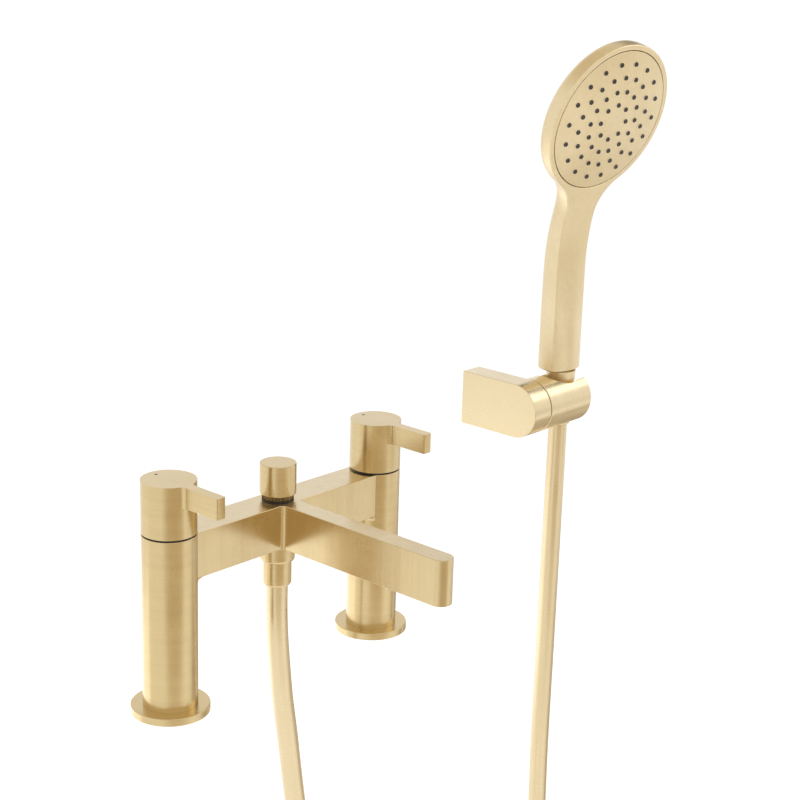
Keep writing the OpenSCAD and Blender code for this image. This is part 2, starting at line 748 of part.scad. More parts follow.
// Conical nut, grown by a clearance where it is cut out of the holder
module cone(grow) {
    at_socket() translate([0, 0, cone_foot])
        cylinder(h = cone_h, d1 = cone_foot_d + 2 * grow, d2 = cone_top_d + 2 * grow);
}

// Outline across the slot: straight below, flared above
module slot_plan() {
    w = slot_w / 2;
    z = bracket_r - mouth_depth;
    polygon([[-w, -bracket_d], [w, -bracket_d], [w, z], [w + slot_flare, bracket_r],
        [-w - slot_flare, bracket_r], [-w, z]]);
}

module holder() {
    color(gold) difference() {
        on_bracket(holder_x) bevelled(holder_len, bracket_d, holder_bevel);
        on_bracket(holder_x - over) cylinder(h = stud_in_holder + over + clear, d = stud_d + 2 * play);
        cone(cone_play);
        at_socket() rod(bracket_z - bracket_d, bracket_d, cone_foot_d + 2 * cone_play);
        at_socket() translate([-mouth_shift, 0, mouth_z])
            cylinder(h = mouth_depth, d1 = mouth_d - 2 * mouth_shift, d2 = mouth_d + 2 * mouth_flare);
        on_bracket(socket_x) linear_extrude(holder_len) slot_plan();
    }
}

module cone_nut() {
    color(gold) difference() {
        intersection() {
            cone(0);
            union() {
                on_bracket(holder_x) cylinder(h = 2 * holder_len, r = bracket_r - clear);
                at_socket() rod(bracket_z, bracket_d, 2 * cone_top_d);
            }
        }
        at_socket() rod(cone_washer_z, cone_h, inlet_d + 2 * play);
        at_socket() rod(cone_foot - over, cone_h, tail_d + 2 * play);
    }
}

module hose_tail() {
    foot = cone_foot + tail_in;
    color(brass) at_socket() tube(foot, cone_washer_z - foot, tail_d, ferrule_bore);
}

module cone_washer() {
    color(dark) at_socket() tube(cone_washer_z, washer_h - play, inlet_d - clear, inlet_bore);
}

// Puts a handset piece on its axis, grip's foot at height 0
module on_handset() { at_socket() translate([0, 0, handset_z]) rotate(handset_turn) children(); }

// Puts a face piece in the head, its middle at the origin and its front along Z
module on_face() {
    on_handset() translate([0, -head_pos[0], head_pos[1]]) rotate([90 + head_tilt, 0, 0]) children();
}

module handset_body() {
    n = front_cuts + back_cuts;
    last = len(loft) - 1;
    points = [for (r = loft) each r];
    sides = [for (i = [0 : last - 1]) for (k = [0 : n - 1]) let (a = i * n + k, b = i * n + (k + 1) % n)
        each [[a, a + n, b + n], [a, b + n, b]]];
    ends = [[for (k = [0 : n - 1]) k], [for (k = [n - 1 : -1 : 0]) last * n + k]];
    color(gold) difference() {
        on_handset() polyhedron(points, concat(sides, ends));
        on_handset() rod(-over, spigot_len + over + play, spigot_d + 2 * play);
        on_face() translate([0, 0, -recess]) cylinder(h = 2 * recess, r = face_r + face_gap);
    }
}

function dome(r) = face_dome * (1 - pow(r / face_r, 2));

// Domed disc whose top follows the face, lowered by drop
module domed(r, t, drop) {
    n = 8;
    rotate_extrude() polygon(concat([for (i = [0 : n]) [r * i / n, dome(r * i / n) - drop]],
        [for (i = [n : -1 : 0]) [r * i / n, dome(r * i / n) - drop - t]]));
}

module at_nozzles() {
    for (g = rings, i = [1 : g[1]])
        rotate(g[2] + 360 * i / g[1]) translate([g[0], 0, dome(g[0])]) children();
}

module face_plate() {
    color(gold) on_face() difference() {
        domed(face_r, face_t, 0);
        at_nozzles() rod(-2 * face_t, 4 * face_t, nozzle_d, $fn = 20);
    }
}

module nozzle_mat() {
    nub = face_t + mat_t / 2;
    color(rubber) on_face() difference() {
        union() {
            domed(mat_r, mat_t, face_t + play);
            at_nozzles() rod(-nub, nub + nozzle_proud, nozzle_d - 2 * play, $fn = 20);
        }
        at_nozzles() rod(-2 * nub, 4 * nub, jet_d, $fn = 16);
    }
}

module inlet_nipple() {
    color(brass) on_handset() difference() {
        union() {
            rod(-clear - inlet_len, inlet_len + clear, inlet_d);
            rod(-over, spigot_len + over, spigot_d);
        }
        rod(-2 * inlet_len, 2 * inlet_len + 2 * spigot_len, inlet_bore);
    }
}

module check_valve() {
    color(white) on_handset() translate([0, 0, spigot_len - check_len]) difference() {
        cylinder(h = check_len, d = inlet_bore - 2 * play);
        for (i = [1 : 4]) rotate(90 * i) translate([inlet_bore / 4, 0, 0])
            rod(-over, check_len + 2 * over, inlet_bore / 5);
    }
}

module pillar_hot() { color(gold) hot_side() pillar(); }
module pillar_cold() { color(gold) cold_side() pillar(); }
module flange_hot() { color(gold) hot_side() flange(); }
module flange_cold() { color(gold) cold_side() flange(); }
module glide_ring_hot() { color(dark) hot_side() glide_ring(); }
module glide_ring_cold() { color(dark) cold_side() glide_ring(); }
module cartridge_hot() { color(brass) hot_side() cartridge(); }
module cartridge_cold() { color(brass) cold_side() cartridge(); }
module seat_washer_hot() { color(dark) hot_side() seat_washer(); }
module seat_washer_cold() { color(dark) cold_side() seat_washer(); }
module fixed_disc_hot() { color(white) hot_side() disc(fixed_z, 90); }
module fixed_disc_cold() { color(white) cold_side() disc(fixed_z, 90); }
module moving_disc_hot() { color(white) hot_side() disc(moving_z, 0); }
module moving_disc_cold() { color(white) cold_side() disc(moving_z, 0); }
module spindle_hot() { color(brass) hot_side() spindle(); }
module spindle_cold() { color(brass) cold_side() spindle(); }
module lever_hot() { color(gold) hot_side() lever(); }
module lever_cold() { color(gold) cold_side() lever(); }
module lever_grub_hot() { color(steel) hot_side() lever_grub(); }
module lever_grub_cold() { color(steel) cold_side() lever_grub(); }
module index_hot() { color(red) hot_side() index(); }
module index_cold() { color(blue) cold_side() index(); }
module union_hot() { color(brass) hot_side() union_tube(); }
module union_cold() { color(brass) cold_side() union_tube(); }

pillar_hot();
pillar_cold();
flange_hot();
flange_cold();
glide_ring_hot();
glide_ring_cold();
cartridge_hot();
cartridge_cold();
seat_washer_hot();
seat_washer_cold();
fixed_disc_hot();
fixed_disc_cold();
moving_disc_hot();
moving_disc_cold();
spindle_hot();
spindle_cold();
lever_hot();
lever_cold();
lever_grub_hot();
lever_grub_cold();
index_hot();
index_cold();
bridge_body();
union_hot();
union_cold();
flow_insert();
diverter_gland();
diverter_stem();
diverter_plunger();
diverter_seal();
diverter_knob();
outlet_nipple();
outlet_washer();
hose_nut();
ferrule();
hose();
hose_tail();
cone_washer();
cone_nut();
bracket_arm();
wall_plate();
arm_grub();
pivot_stud();
friction_washer();
holder();
handset_body();
face_plate();
nozzle_mat();
inlet_nipple();
check_valve();
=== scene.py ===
import math
from math import cos, radians, sin, sqrt

import bmesh
import bpy
from mathutils import Matrix, Vector


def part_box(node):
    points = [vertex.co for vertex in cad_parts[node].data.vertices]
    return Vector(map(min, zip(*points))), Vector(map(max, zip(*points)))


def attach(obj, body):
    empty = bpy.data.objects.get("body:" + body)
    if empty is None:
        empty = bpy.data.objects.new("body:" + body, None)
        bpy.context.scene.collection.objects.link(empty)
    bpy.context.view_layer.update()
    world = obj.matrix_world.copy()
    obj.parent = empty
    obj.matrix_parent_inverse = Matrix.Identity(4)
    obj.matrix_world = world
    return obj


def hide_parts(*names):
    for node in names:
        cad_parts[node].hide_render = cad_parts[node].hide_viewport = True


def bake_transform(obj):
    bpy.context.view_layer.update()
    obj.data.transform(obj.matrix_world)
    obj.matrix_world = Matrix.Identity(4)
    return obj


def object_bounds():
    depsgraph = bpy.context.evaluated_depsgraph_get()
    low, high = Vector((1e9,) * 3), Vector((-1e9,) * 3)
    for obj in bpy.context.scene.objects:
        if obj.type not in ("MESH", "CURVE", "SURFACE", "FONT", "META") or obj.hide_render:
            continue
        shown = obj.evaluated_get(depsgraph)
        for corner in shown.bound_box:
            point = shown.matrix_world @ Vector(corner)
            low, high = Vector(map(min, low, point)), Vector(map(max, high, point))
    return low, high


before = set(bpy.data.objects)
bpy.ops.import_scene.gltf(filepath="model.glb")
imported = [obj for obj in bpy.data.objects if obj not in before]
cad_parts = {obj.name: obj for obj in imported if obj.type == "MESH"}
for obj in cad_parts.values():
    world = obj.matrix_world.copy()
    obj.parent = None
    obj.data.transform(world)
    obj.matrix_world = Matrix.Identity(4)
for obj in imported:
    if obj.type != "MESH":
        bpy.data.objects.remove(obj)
cadLow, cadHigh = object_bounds()
mm = 0.001  # pieces are modelled in millimetres and scaled to metres at the end


def nodeBox(node):  # corners of a CAD node, in millimetres
    low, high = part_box(node)
    return low / mm, high / mm


# camera, standing where the photograph was taken from
camera = {"place": (-0.7259, -0.7494, 0.4910), "heading": -48.245, "down": 16.488, "roll": 1.758,
          "lens": 78.26, "farthest": 100}


def addCamera():
    data = bpy.data.cameras.new("camera")
    data.lens = camera["lens"]
    data.clip_end = camera["farthest"]
    view = bpy.data.objects.new("camera", data)
    bpy.context.scene.collection.objects.link(view)
    heading = Matrix.Rotation(radians(camera["heading"]), 4, "Z")
    pitch = Matrix.Rotation(radians(90 - camera["down"]), 4, "X")
    roll = Matrix.Rotation(radians(camera["roll"]), 4, "Z")
    view.matrix_world = Matrix.Translation(camera["place"]) @ heading @ pitch @ roll
    bpy.context.scene.camera = view


addCamera()
print("camera placed")


# shader helpers
def addNode(tree, kind, **values):
    made = tree.nodes.new("ShaderNode" + kind)
    for label, value in values.items():
        made.inputs[label.replace("_", " ")].default_value = value
    return made


def newGroup(name, inputs, outputs):
    tree = bpy.data.node_groups.new(name, "ShaderNodeTree")
    for label, kind in inputs.items():
        tree.interface.new_socket(label, in_out="INPUT", socket_type="NodeSocket" + kind)
    for label, kind in outputs.items():
        tree.interface.new_socket(label, in_out="OUTPUT", socket_type="NodeSocket" + kind)
    return tree, tree.nodes.new("NodeGroupInput"), tree.nodes.new("NodeGroupOutput")


def placeGroup(tree, group, **values):
    made = tree.nodes.new("ShaderNodeGroup")
    made.node_tree = group
    for label, value in values.items():
        made.inputs[label].default_value = value
    return made


def newMaterial(name):
    material = bpy.data.materials.new(name)
    material.use_nodes = True
    return material, material.node_tree, material.node_tree.nodes["Principled BSDF"]


def makeBrushing():  # fine scratches that run one way, over broad bands of tone
    tree, given, result = newGroup("brushing", {"Vector": "Vector"}, {"Streak": "Float", "Grain": "Float"})
    fine = addNode(tree, "TexNoise", Scale=1.0, Detail=5.0, Roughness=0.7)
    broad = addNode(tree, "TexNoise", Scale=0.13, Detail=2.0, Roughness=0.5)
    both = tree.nodes.new("ShaderNodeMix")
    both.inputs["Factor"].default_value = 0.45
    spread = addNode(tree, "MapRange", From_Min=0.3, From_Max=0.7)
    tree.links.new(given.outputs["Vector"], fine.inputs["Vector"])
    tree.links.new(given.outputs["Vector"], broad.inputs["Vector"])
    tree.links.new(fine.outputs["Fac"], both.inputs[2])
    tree.links.new(broad.outputs["Fac"], both.inputs[3])
    tree.links.new(both.outputs[0], spread.inputs["Value"])
    tree.links.new(spread.outputs["Result"], result.inputs["Streak"])
    tree.links.new(fine.outputs["Fac"], result.inputs["Grain"])
    return tree


def makeHandling():  # soft patches left by hands and cloths
    tree, given, result = newGroup("handling", {"Vector": "Vector", "Size": "Float"}, {"Patch": "Float"})
    patch = addNode(tree, "TexNoise", Detail=3.0, Roughness=0.55)
    spread = addNode(tree, "MapRange", From_Min=0.35, From_Max=0.65)
    tree.links.new(given.outputs["Vector"], patch.inputs["Vector"])
    tree.links.new(given.outputs["Size"], patch.inputs["Scale"])
    tree.links.new(patch.outputs["Fac"], spread.inputs["Value"])
    tree.links.new(spread.outputs["Result"], result.inputs["Patch"])
    return tree


brushing = makeBrushing()
handling = makeHandling()


def mixTones(tree, first, second):
    tone = tree.nodes.new("ShaderNodeMix")
    tone.data_type = "RGBA"
    tone.inputs[6].default_value = (*first, 1)
    tone.inputs[7].default_value = (*second, 1)
    return tone


def startFinish(name, finish):  # what metals and mouldings share
    material, tree, shader = newMaterial(name)
    coords = tree.nodes.new("ShaderNodeTexCoord")
    patches = placeGroup(tree, handling, Size=finish["patches"])
    tone = mixTones(tree, finish["shade"], finish["light"])
    low, high = finish["rough"]
    rough = addNode(tree, "MapRange", To_Min=low, To_Max=high)
    bump = addNode(tree, "Bump", Strength=finish["bump"], Distance=finish["depth"])
    tree.links.new(coords.outputs["Object"], patches.inputs["Vector"])
    tree.links.new(tone.outputs[2], shader.inputs["Base Color"])
    tree.links.new(patches.outputs["Patch"], rough.inputs["Value"])
    tree.links.new(rough.outputs["Result"], shader.inputs["Roughness"])
    tree.links.new(bump.outputs["Normal"], shader.inputs["Normal"])
    ends = {"coords": coords.outputs["Object"], "patch": patches.outputs["Patch"], "tone": tone.inputs[0],
            "height": bump.inputs["Height"]}
    return material, shader, ends


def metalFinish(name, finish):
    material, shader, ends = startFinish(name, finish)
    tree = material.node_tree
    stretch = addNode(tree, "Mapping", Scale=finish["stretch"])
    lines = placeGroup(tree, brushing)
    tree.links.new(ends["coords"], stretch.inputs["Vector"])
    tree.links.new(stretch.outputs["Vector"], lines.inputs["Vector"])
    tree.links.new(lines.outputs["Streak"], ends["tone"])
    tree.links.new(lines.outputs["Grain"], ends["height"])
    shader.inputs["Metallic"].default_value = finish["metallic"]
    shader.inputs["Coat Weight"].default_value = finish["coat"]
    shader.inputs["Coat Roughness"].default_value = finish["coatRough"]
    return material


def mouldedFinish(name, finish):
    material, shader, ends = startFinish(name, finish)
    tree = material.node_tree
    speckle = placeGroup(tree, handling, Size=finish["speckle"])
    tree.links.new(ends["coords"], speckle.inputs["Vector"])
    tree.links.new(ends["patch"], ends["tone"])
    tree.links.new(speckle.outputs["Patch"], ends["height"])
    return material


# gold: colours, share of metal, clear coat, and which way the scratches run
goldPlate = {"shade": (0.60, 0.455, 0.225), "light": (0.70, 0.545, 0.285), "metallic": 1.0, "coat": 0.4,
             "coatRough": 0.2, "rough": (0.22, 0.29), "patches": 40.0, "bump": 0.06, "depth": 0.0001}
turnedGold = metalFinish("turnedGold", {**goldPlate, "stretch": (9, 9, 1100)})
linishedGold = metalFinish("linishedGold", {**goldPlate, "stretch": (1100, 1100, 12), "coat": 1.0})
# lighter copy of the gold for the bracket, handset and cone nut: painted light, standing in for the brighter
# light on them
paintedLightGold = {**goldPlate, "shade": (0.74, 0.60, 0.36), "light": (0.83, 0.69, 0.44)}
sidewaysGold = metalFinish("sidewaysGold", {**paintedLightGold, "stretch": (1100, 9, 9)})
satinGold = metalFinish("satinGold", {**paintedLightGold, "stretch": (300, 300, 300), "rough": (0.38, 0.45),
                                      "bump": 0.05, "patches": 25.0})
hoseGold = metalFinish("hoseGold", {**paintedLightGold, "stretch": (60, 60, 8), "shade": (0.70, 0.56, 0.33),
                                    "light": (0.79, 0.65, 0.41), "rough": (0.26, 0.32), "bump": 0.02})
coneGold = metalFinish("coneGold", {**paintedLightGold, "stretch": (9, 9, 1100), "rough": (0.34, 0.4)})
# near-black brass for the diverter collar: painted shade from the knob above it
paintedShadeBrass = metalFinish("paintedShadeBrass", {**goldPlate, "stretch": (9, 9, 900), "shade": (0.13, 0.085, 0.035),
                                    "light": (0.24, 0.17, 0.08)})
rawBrass = metalFinish("rawBrass", {**goldPlate, "stretch": (12, 12, 700), "shade": (0.46, 0.34, 0.12),
                                    "light": (0.56, 0.43, 0.18), "coat": 0.0})
steel = metalFinish("steel", {**goldPlate, "stretch": (12, 700, 12), "shade": (0.42, 0.42, 0.44),
                              "light": (0.56, 0.56, 0.58), "coat": 0.0})
moulded = {"rough": (0.42, 0.55), "patches": 60.0, "speckle": 1800.0, "bump": 0.1, "depth": 0.0001}
# black moulding; on the collar's foot and the glide rings this black also paints the shade in their gaps
blackPlasticAndShade = mouldedFinish("blackPlasticAndShade", {**moulded, "shade": (0.008, 0.007, 0.006),
                                              "light": (0.016, 0.014, 0.012)})
blackRubber = mouldedFinish("blackRubber", {**moulded, "shade": (0.010, 0.010, 0.010),
                                            "light": (0.020, 0.020, 0.020), "rough": (0.6, 0.75)})
greyRubber = mouldedFinish("greyRubber", {**moulded, "shade": (0.050, 0.044, 0.040),
                                          "light": (0.080, 0.071, 0.065), "rough": (0.3, 0.4)})
ceramic = mouldedFinish("ceramic", {**moulded, "shade": (0.78, 0.78, 0.75), "light": (0.86, 0.86, 0.84),
                                    "rough": (0.12, 0.2)})
whitePlastic = mouldedFinish("whitePlastic", {**moulded, "shade": (0.72, 0.72, 0.70),
                                              "light": (0.80, 0.80, 0.78)})
redEnamel = mouldedFinish("redEnamel", {**moulded, "shade": (0.040, 0.006, 0.005),
                                        "light": (0.060, 0.009, 0.007), "rough": (0.2, 0.3)})
blueEnamel = mouldedFinish("blueEnamel", {**moulded, "shade": (0.006, 0.009, 0.034),
                                          "light": (0.009, 0.014, 0.052), "rough": (0.2, 0.3)})
print("finishes made:", len(bpy.data.materials))


# modelling helpers, in millimetres and degrees
weld = {"turned": 0.001, "carved": 0.002, "drawn": 0.01}  # points nearer than this merge
pick = {"same": 0.01, "edge": 0.1, "near": 1}  # margins for edges picked by their place
curves = {"arcStep": 3.75, "fewest": 4, "sharp": 34, "hoseSharp": 50}
grub = {"hole": 2.05, "depth": 12, "sides": 24}


def turn(outline, steps=96):  # spins an outline of (radius, height) points about the z axis
    bm = bmesh.new()
    points = [bm.verts.new((radius, 0, height)) for radius, height in outline]
    pairs = list(zip(points, points[1:]))
    if outline[0][0] > 0 or outline[-1][0] > 0:
        pairs.append((points[-1], points[0]))
    lines = [bm.edges.new(pair) for pair in pairs]
    bmesh.ops.spin(bm, geom=points + lines, cent=(0, 0, 0), axis=(0, 0, 1), angle=2 * math.pi, steps=steps,
                   use_merge=True, use_duplicate=False)
    bmesh.ops.remove_doubles(bm, verts=bm.verts, dist=weld["turned"])
    bmesh.ops.recalc_face_normals(bm, faces=bm.faces)
    return bm


def line(bm, pen, x, y):  # draws a straight line and moves the pen
    pen = bmesh.ops.extrude_vert_indiv(bm, verts=[pen])["verts"][0]
    pen.co = (x, y, 0)
    return pen


def arc(bm, pen, x, y, degrees):  # draws an arc about a centre and moves the pen
    steps = max(curves["fewest"], round(abs(degrees) / curves["arcStep"]))
    spun = bmesh.ops.spin(bm, geom=[pen], cent=(x, y, 0), axis=(0, 0, 1), angle=radians(degrees), steps=steps)
    return next(part for part in spun["geom_last"] if isinstance(part, bmesh.types.BMVert))


def fillOutline(bm):
    bmesh.ops.remove_doubles(bm, verts=bm.verts, dist=weld["drawn"])
    return bmesh.ops.contextual_create(bm, geom=bm.edges[:])["faces"][0]


def raiseFaces(bm, faces, vec):  # extrudes faces along a vector and gives the new ones
    edges = dict.fromkeys(edge for face in faces for edge in face.edges)  # or the old faces stay inside
    made = bmesh.ops.extrude_face_region(bm, geom=[*faces, *edges])["geom"]
    bmesh.ops.translate(bm, verts=[part for part in made if isinstance(part, bmesh.types.BMVert)], vec=vec)
    return [part for part in made if isinstance(part, bmesh.types.BMFace)]


def soften(bm, width, segments=3, sharper=40, only=None):  # rounds the outer sharp edges
    bmesh.ops.recalc_face_normals(bm, faces=bm.faces)
    bm.normal_update()
    edges = [edge for edge in bm.edges if len(edge.link_faces) == 2 and edge.is_convex
             and edge.calc_face_angle() > radians(sharper) and (only is None or only(edge))]
    bmesh.ops.bevel(bm, geom=edges, offset=width, affect="EDGES", segments=segments, profile=0.5, material=-1,
                    clamp_overlap=True)


def move(bm, matrix):
    bmesh.ops.transform(bm, matrix=matrix, verts=bm.verts)
    return bm


def grubHole(x, y, z):  # lies along the y axis
    hole = bmesh.new()
    bmesh.ops.create_cone(hole, cap_ends=True, radius1=grub["hole"], radius2=grub["hole"],
                          depth=grub["depth"], segments=grub["sides"])
    return move(hole, Matrix.Translation((x, y, z)) @ Matrix.Rotation(radians(90), 4, "X"))


def newObject(name, bm):
    mesh = bpy.data.meshes.new(name)
    bm.to_mesh(mesh)
    bm.free()
    made = bpy.data.objects.new(name, mesh)
    bpy.context.scene.collection.objects.link(made)
    return made


def carve(bm, cutters):  # cuts shapes out of a solid
    solid = newObject("solid", bm)
    tools = [newObject("cutter", cutter) for cutter in cutters]
    for tool in tools:
        cut = solid.modifiers.new("cut", "BOOLEAN")
        cut.object = tool
        cut.solver = "EXACT"
    result = bmesh.new()
    result.from_mesh(solid.evaluated_get(bpy.context.evaluated_depsgraph_get()).to_mesh())
    for made in (solid, *tools):
        bpy.data.objects.remove(made)
    bmesh.ops.remove_doubles(result, verts=result.verts, dist=weld["carved"])
    return result


def shadePiece(piece, finish, sharp):
    piece.data.materials.append(finish)
    piece.data.shade_smooth()
    piece.data.set_sharp_from_angle(angle=radians(sharp))


def makePiece(name, bm, body, finish, slot, *nodes):
    bmesh.ops.scale(bm, vec=(mm, mm, mm), verts=bm.verts)
    piece = newObject(name, bm)
    shadePiece(piece, finish, curves["sharp"])
    even = piece.modifiers.new("evenShading", "WEIGHTED_NORMAL")
    even.keep_sharp = True
    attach(piece, body)
    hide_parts(*nodes)
    return piece


# hose: a plain tube that hangs in a loop from the outlet to the handset's nut
hose = {"diameter": 0.014, "sides": 24, "steps": 10, "stubDiameter": 0.0134, "stubLength": 0.016,
        "stubInside": 0.004, "lead": 0.02, "bendFrom": -0.028, "bendTo": 0.092, "bendSlant": 0.35}
hoseRoute = [
    (0, 0, 0.0396), (0.001, 0, 0.020), (0.003, 0, 0), (0.006, 0, -0.025),
    (0.011, 0, -0.055), (0.018, 0, -0.100), (0.025, -0.002, -0.150), (0.031, -0.0055, -0.205),
    (0.036, -0.0105, -0.260), (0.041, -0.016, -0.315), (0.048, -0.022, -0.370), (0.059, -0.0285, -0.425),
    (0.077, -0.0335, -0.475), (0.103, -0.038, -0.514), (0.137, -0.0405, -0.537), (0.172, -0.040, -0.540),
    (0.206, -0.0375, -0.526), (0.236, -0.033, -0.497), (0.258, -0.026, -0.455), (0.271, -0.0205, -0.405),
    (0.279, -0.0145, -0.350), (0.284, -0.010, -0.290), (0.286, -0.007, -0.225), (0.287, -0.005, -0.160),
    (0.287, -0.005, -0.090), (0.287, -0.005, -0.020), (0.287, -0.005, 0.050),
]


def hosePath():  # smooth line through the route, from the ferrule to the nut
    coneLow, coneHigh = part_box("cone_nut")
    middle = (coneLow + coneHigh) / 2
    start = Vector((0, 0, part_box("ferrule")[0].z))
    end = Vector((middle.x, middle.y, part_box("hose")[1].z))
    lead = Vector((0, 0, hose["lead"]))
    knots = [start + lead, start, *map(Vector, hoseRoute), end, end + lead]
    path = []
    for before, a, b, after in zip(knots, knots[1:], knots[2:], knots[3:]):
        for step in range(hose["steps"]):
            t = step / hose["steps"]
            path.append((2 * a + (b - before) * t + (2 * before - 5 * a + 4 * b - after) * t ** 2
                         + (3 * a - before - 3 * b + after) * t ** 3) / 2)
    return path + [end]


def tubeAlong(path, diameter):  # ring at the start, carried from point to point
    bm = bmesh.new()
    across = Vector((0, 1, 0))
    ring = bmesh.ops.create_circle(bm, cap_ends=True, radius=diameter / 2, segments=hose["sides"])["verts"]
    front = ring[0].link_faces[0]
    place = Matrix.Identity(4)
    for before, point, after in zip(path[:1] + path, path, path[1:] + path[-1:]):
        ahead = (after - before).normalized()
        side = across.cross(ahead).normalized()
        up = ahead.cross(side)
        target = Matrix.Translation(point) @ Matrix((side, up, ahead)).transposed().to_4x4()
        if point is not path[0]:
            front = raiseFaces(bm, [front], (0, 0, 0))[0]
        bmesh.ops.transform(bm, matrix=target @ place.inverted(), verts=front.verts[:])
        place = target
    bmesh.ops.recalc_face_normals(bm, faces=bm.faces)
    return bm


def addHose():
    path = hosePath()
    length = sum((b - a).length for a, b in zip(path, path[1:]))
    tube = newObject("hose_tube", tubeAlong(path, hose["diameter"]))
    shadePiece(tube, hoseGold, curves["hoseSharp"])
    end = path[-1]
    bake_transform(tube)
    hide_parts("hose")
    stubPath = [end + Vector((0, 0, hose["stubInside"] - share * hose["stubLength"]))
                for share in (0, 0.25, 0.5, 0.75, 1)]
    stub = newObject("hose_stub", tubeAlong(stubPath, hose["stubDiameter"]))
    shadePiece(stub, hoseGold, curves["hoseSharp"])
    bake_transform(stub)  # slack drawn up with the nut
    print("hose made, length", round(length, 3))
    return tube, stub, path, length


hoseTube, hoseStub, hoseLine, hoseLength = addHose()


# pillars and their base flanges
pillar = {"socket": 12.1, "socketDepth": 16, "riser": 7, "chamber": 9.75, "chamberFoot": 88.0, "seat": 10.5,
          "seatFoot": 104.6, "rim": 0.35, "flangeRim": 0.6, "fit": 0.05}


def addPillar(side):
    low, high = nodeBox("pillar_" + side)
    middle = (low.x + high.x) / 2
    radius = (high.x - low.x) / 2
    shaft = turn([(pillar["socket"], 0), (radius, 0), (radius, high.z), (pillar["seat"], high.z),
                  (pillar["seat"], pillar["seatFoot"]), (pillar["chamber"], pillar["seatFoot"]),
                  (pillar["chamber"], pillar["chamberFoot"]), (pillar["riser"], pillar["chamberFoot"]),
                  (pillar["riser"], pillar["socketDepth"]), (pillar["socket"], pillar["socketDepth"])])
    soften(shaft, pillar["rim"])
    move(shaft, Matrix.Translation((middle, 0, 0)))
    makePiece("pillar_shaft_" + side, shaft, "mixer", turnedGold, "brushed_gold", "pillar_" + side)
    low, high = nodeBox("flange_" + side)
    outer = (high.x - low.x) / 2
    inner = radius + pillar["fit"]
    base = turn([(inner, 0), (outer, 0), (outer, high.z), (inner, high.z)])
    soften(base, pillar["flangeRim"], only=lambda e: min(v.co.z for v in e.verts) > pick["near"]
           and min(v.co.xy.length for v in e.verts) > outer - pick["near"])
    move(base, Matrix.Translation((middle, 0, 0)))
    makePiece("base_flange_" + side, base, "mixer", turnedGold, "brushed_gold", "flange_" + side)


for side in ("hot", "cold"):
    addPillar(side)
print("pillars made")


# lever knobs
lever = {"bladeWidth": 7, "bladeHeight": 13, "fillet": 4, "wall": 2.8, "cavity": 16.2, "rim": 0.5, "tip": 1.2,
         "holeOut": 1}


def addLever(side):
    low, high = nodeBox("lever_" + side)
    radius, reach = high.y, -low.y
    middle = (low.x + high.x) / 2
    half, fillet = lever["bladeWidth"] / 2, lever["fillet"]
    cx = half + fillet
    cy = sqrt((radius + fillet) ** 2 - cx ** 2)
    spread = math.degrees(math.atan2(cx, cy))
    bm = bmesh.new()
    pen = bm.verts.new((radius * sin(radians(spread)), -radius * cos(radians(spread)), 0))
    left = pen = arc(bm, pen, 0, 0, 360 - 2 * spread)
    pen = arc(bm, pen, -cx, -cy, spread - 90)
    pen = line(bm, pen, -half, -reach)
    pen = line(bm, pen, half, -reach)
    pen = line(bm, pen, half, -cy)
    pen = arc(bm, pen, cx, -cy, spread - 90)
    arc(bm, left, 0, 0, 2 * spread)
    bmesh.ops.remove_doubles(bm, verts=bm.verts, dist=weld["drawn"])
    circle = [e for e in bm.edges if all(abs(v.co.length - radius) < pick["same"] for v in e.verts)]
    rootLine = -radius * cos(radians(spread)) + pick["same"]
    root = [e for e in bm.edges if e not in circle or all(v.co.y < rootLine for v in e.verts)]
    knobFace = bmesh.ops.contextual_create(bm, geom=circle)["faces"][0]
    bladeFace = bmesh.ops.contextual_create(bm, geom=root)["faces"][0]
    raiseFaces(bm, [knobFace, bladeFace], (0, 0, lever["bladeHeight"]))
    foot = raiseFaces(bm, [knobFace], (0, 0, low.z - high.z + lever["bladeHeight"]))
    bmesh.ops.inset_region(bm, faces=foot, thickness=lever["wall"])
    raiseFaces(bm, foot, (0, 0, lever["cavity"]))
    soften(bm, lever["tip"], only=lambda e: all(v.co.y < pick["near"] - reach for v in e.verts)
           and abs(e.verts[0].co.z - e.verts[1].co.z) > pick["near"])
    soften(bm, lever["rim"])
    move(bm, Matrix.Translation((middle, 0, high.z - lever["bladeHeight"])))
    grubLow, grubHigh = nodeBox("lever_grub_" + side)
    hole = grubHole(middle, radius + lever["holeOut"], (grubLow.z + grubHigh.z) / 2)
    knob = carve(bm, [hole])
    makePiece("lever_knob_" + side, knob, "lever_" + side, turnedGold, "brushed_gold", "lever_" + side)


for side in ("hot", "cold"):
    addLever(side)
print("lever knobs made")


# bridge between the pillars, with the blade spout
bridge = {"height": 29.2, "spoutWidth": 14, "fillet": 3, "endFillet": 3, "rim": 0.4, "fit": 0.05, "recess": 7,
          "overcut": 1, "filletStep": 10}


def endFillet(end, radius, side, level):  # under the bridge, down onto a pillar
    size = bridge["endFillet"]
    angles = [radians(a) for a in range(0, 91, bridge["filletStep"])]
    bow = [(radius + size * (1 - cos(a)), level - size * (1 - sin(a))) for a in angles]
    ring = turn([*bow, (radius, level)])
    for normal, place in (((end, 0, 0), 0), ((0, 1, 0), side), ((0, -1, 0), -side)):
        bmesh.ops.bisect_plane(ring, geom=ring.verts[:] + ring.edges[:] + ring.faces[:], clear_outer=True,
                               plane_co=(0, place, 0), plane_no=normal)
    bmesh.ops.holes_fill(ring, edges=ring.edges[:])
    bmesh.ops.recalc_face_normals(ring, faces=ring.faces)
    return ring


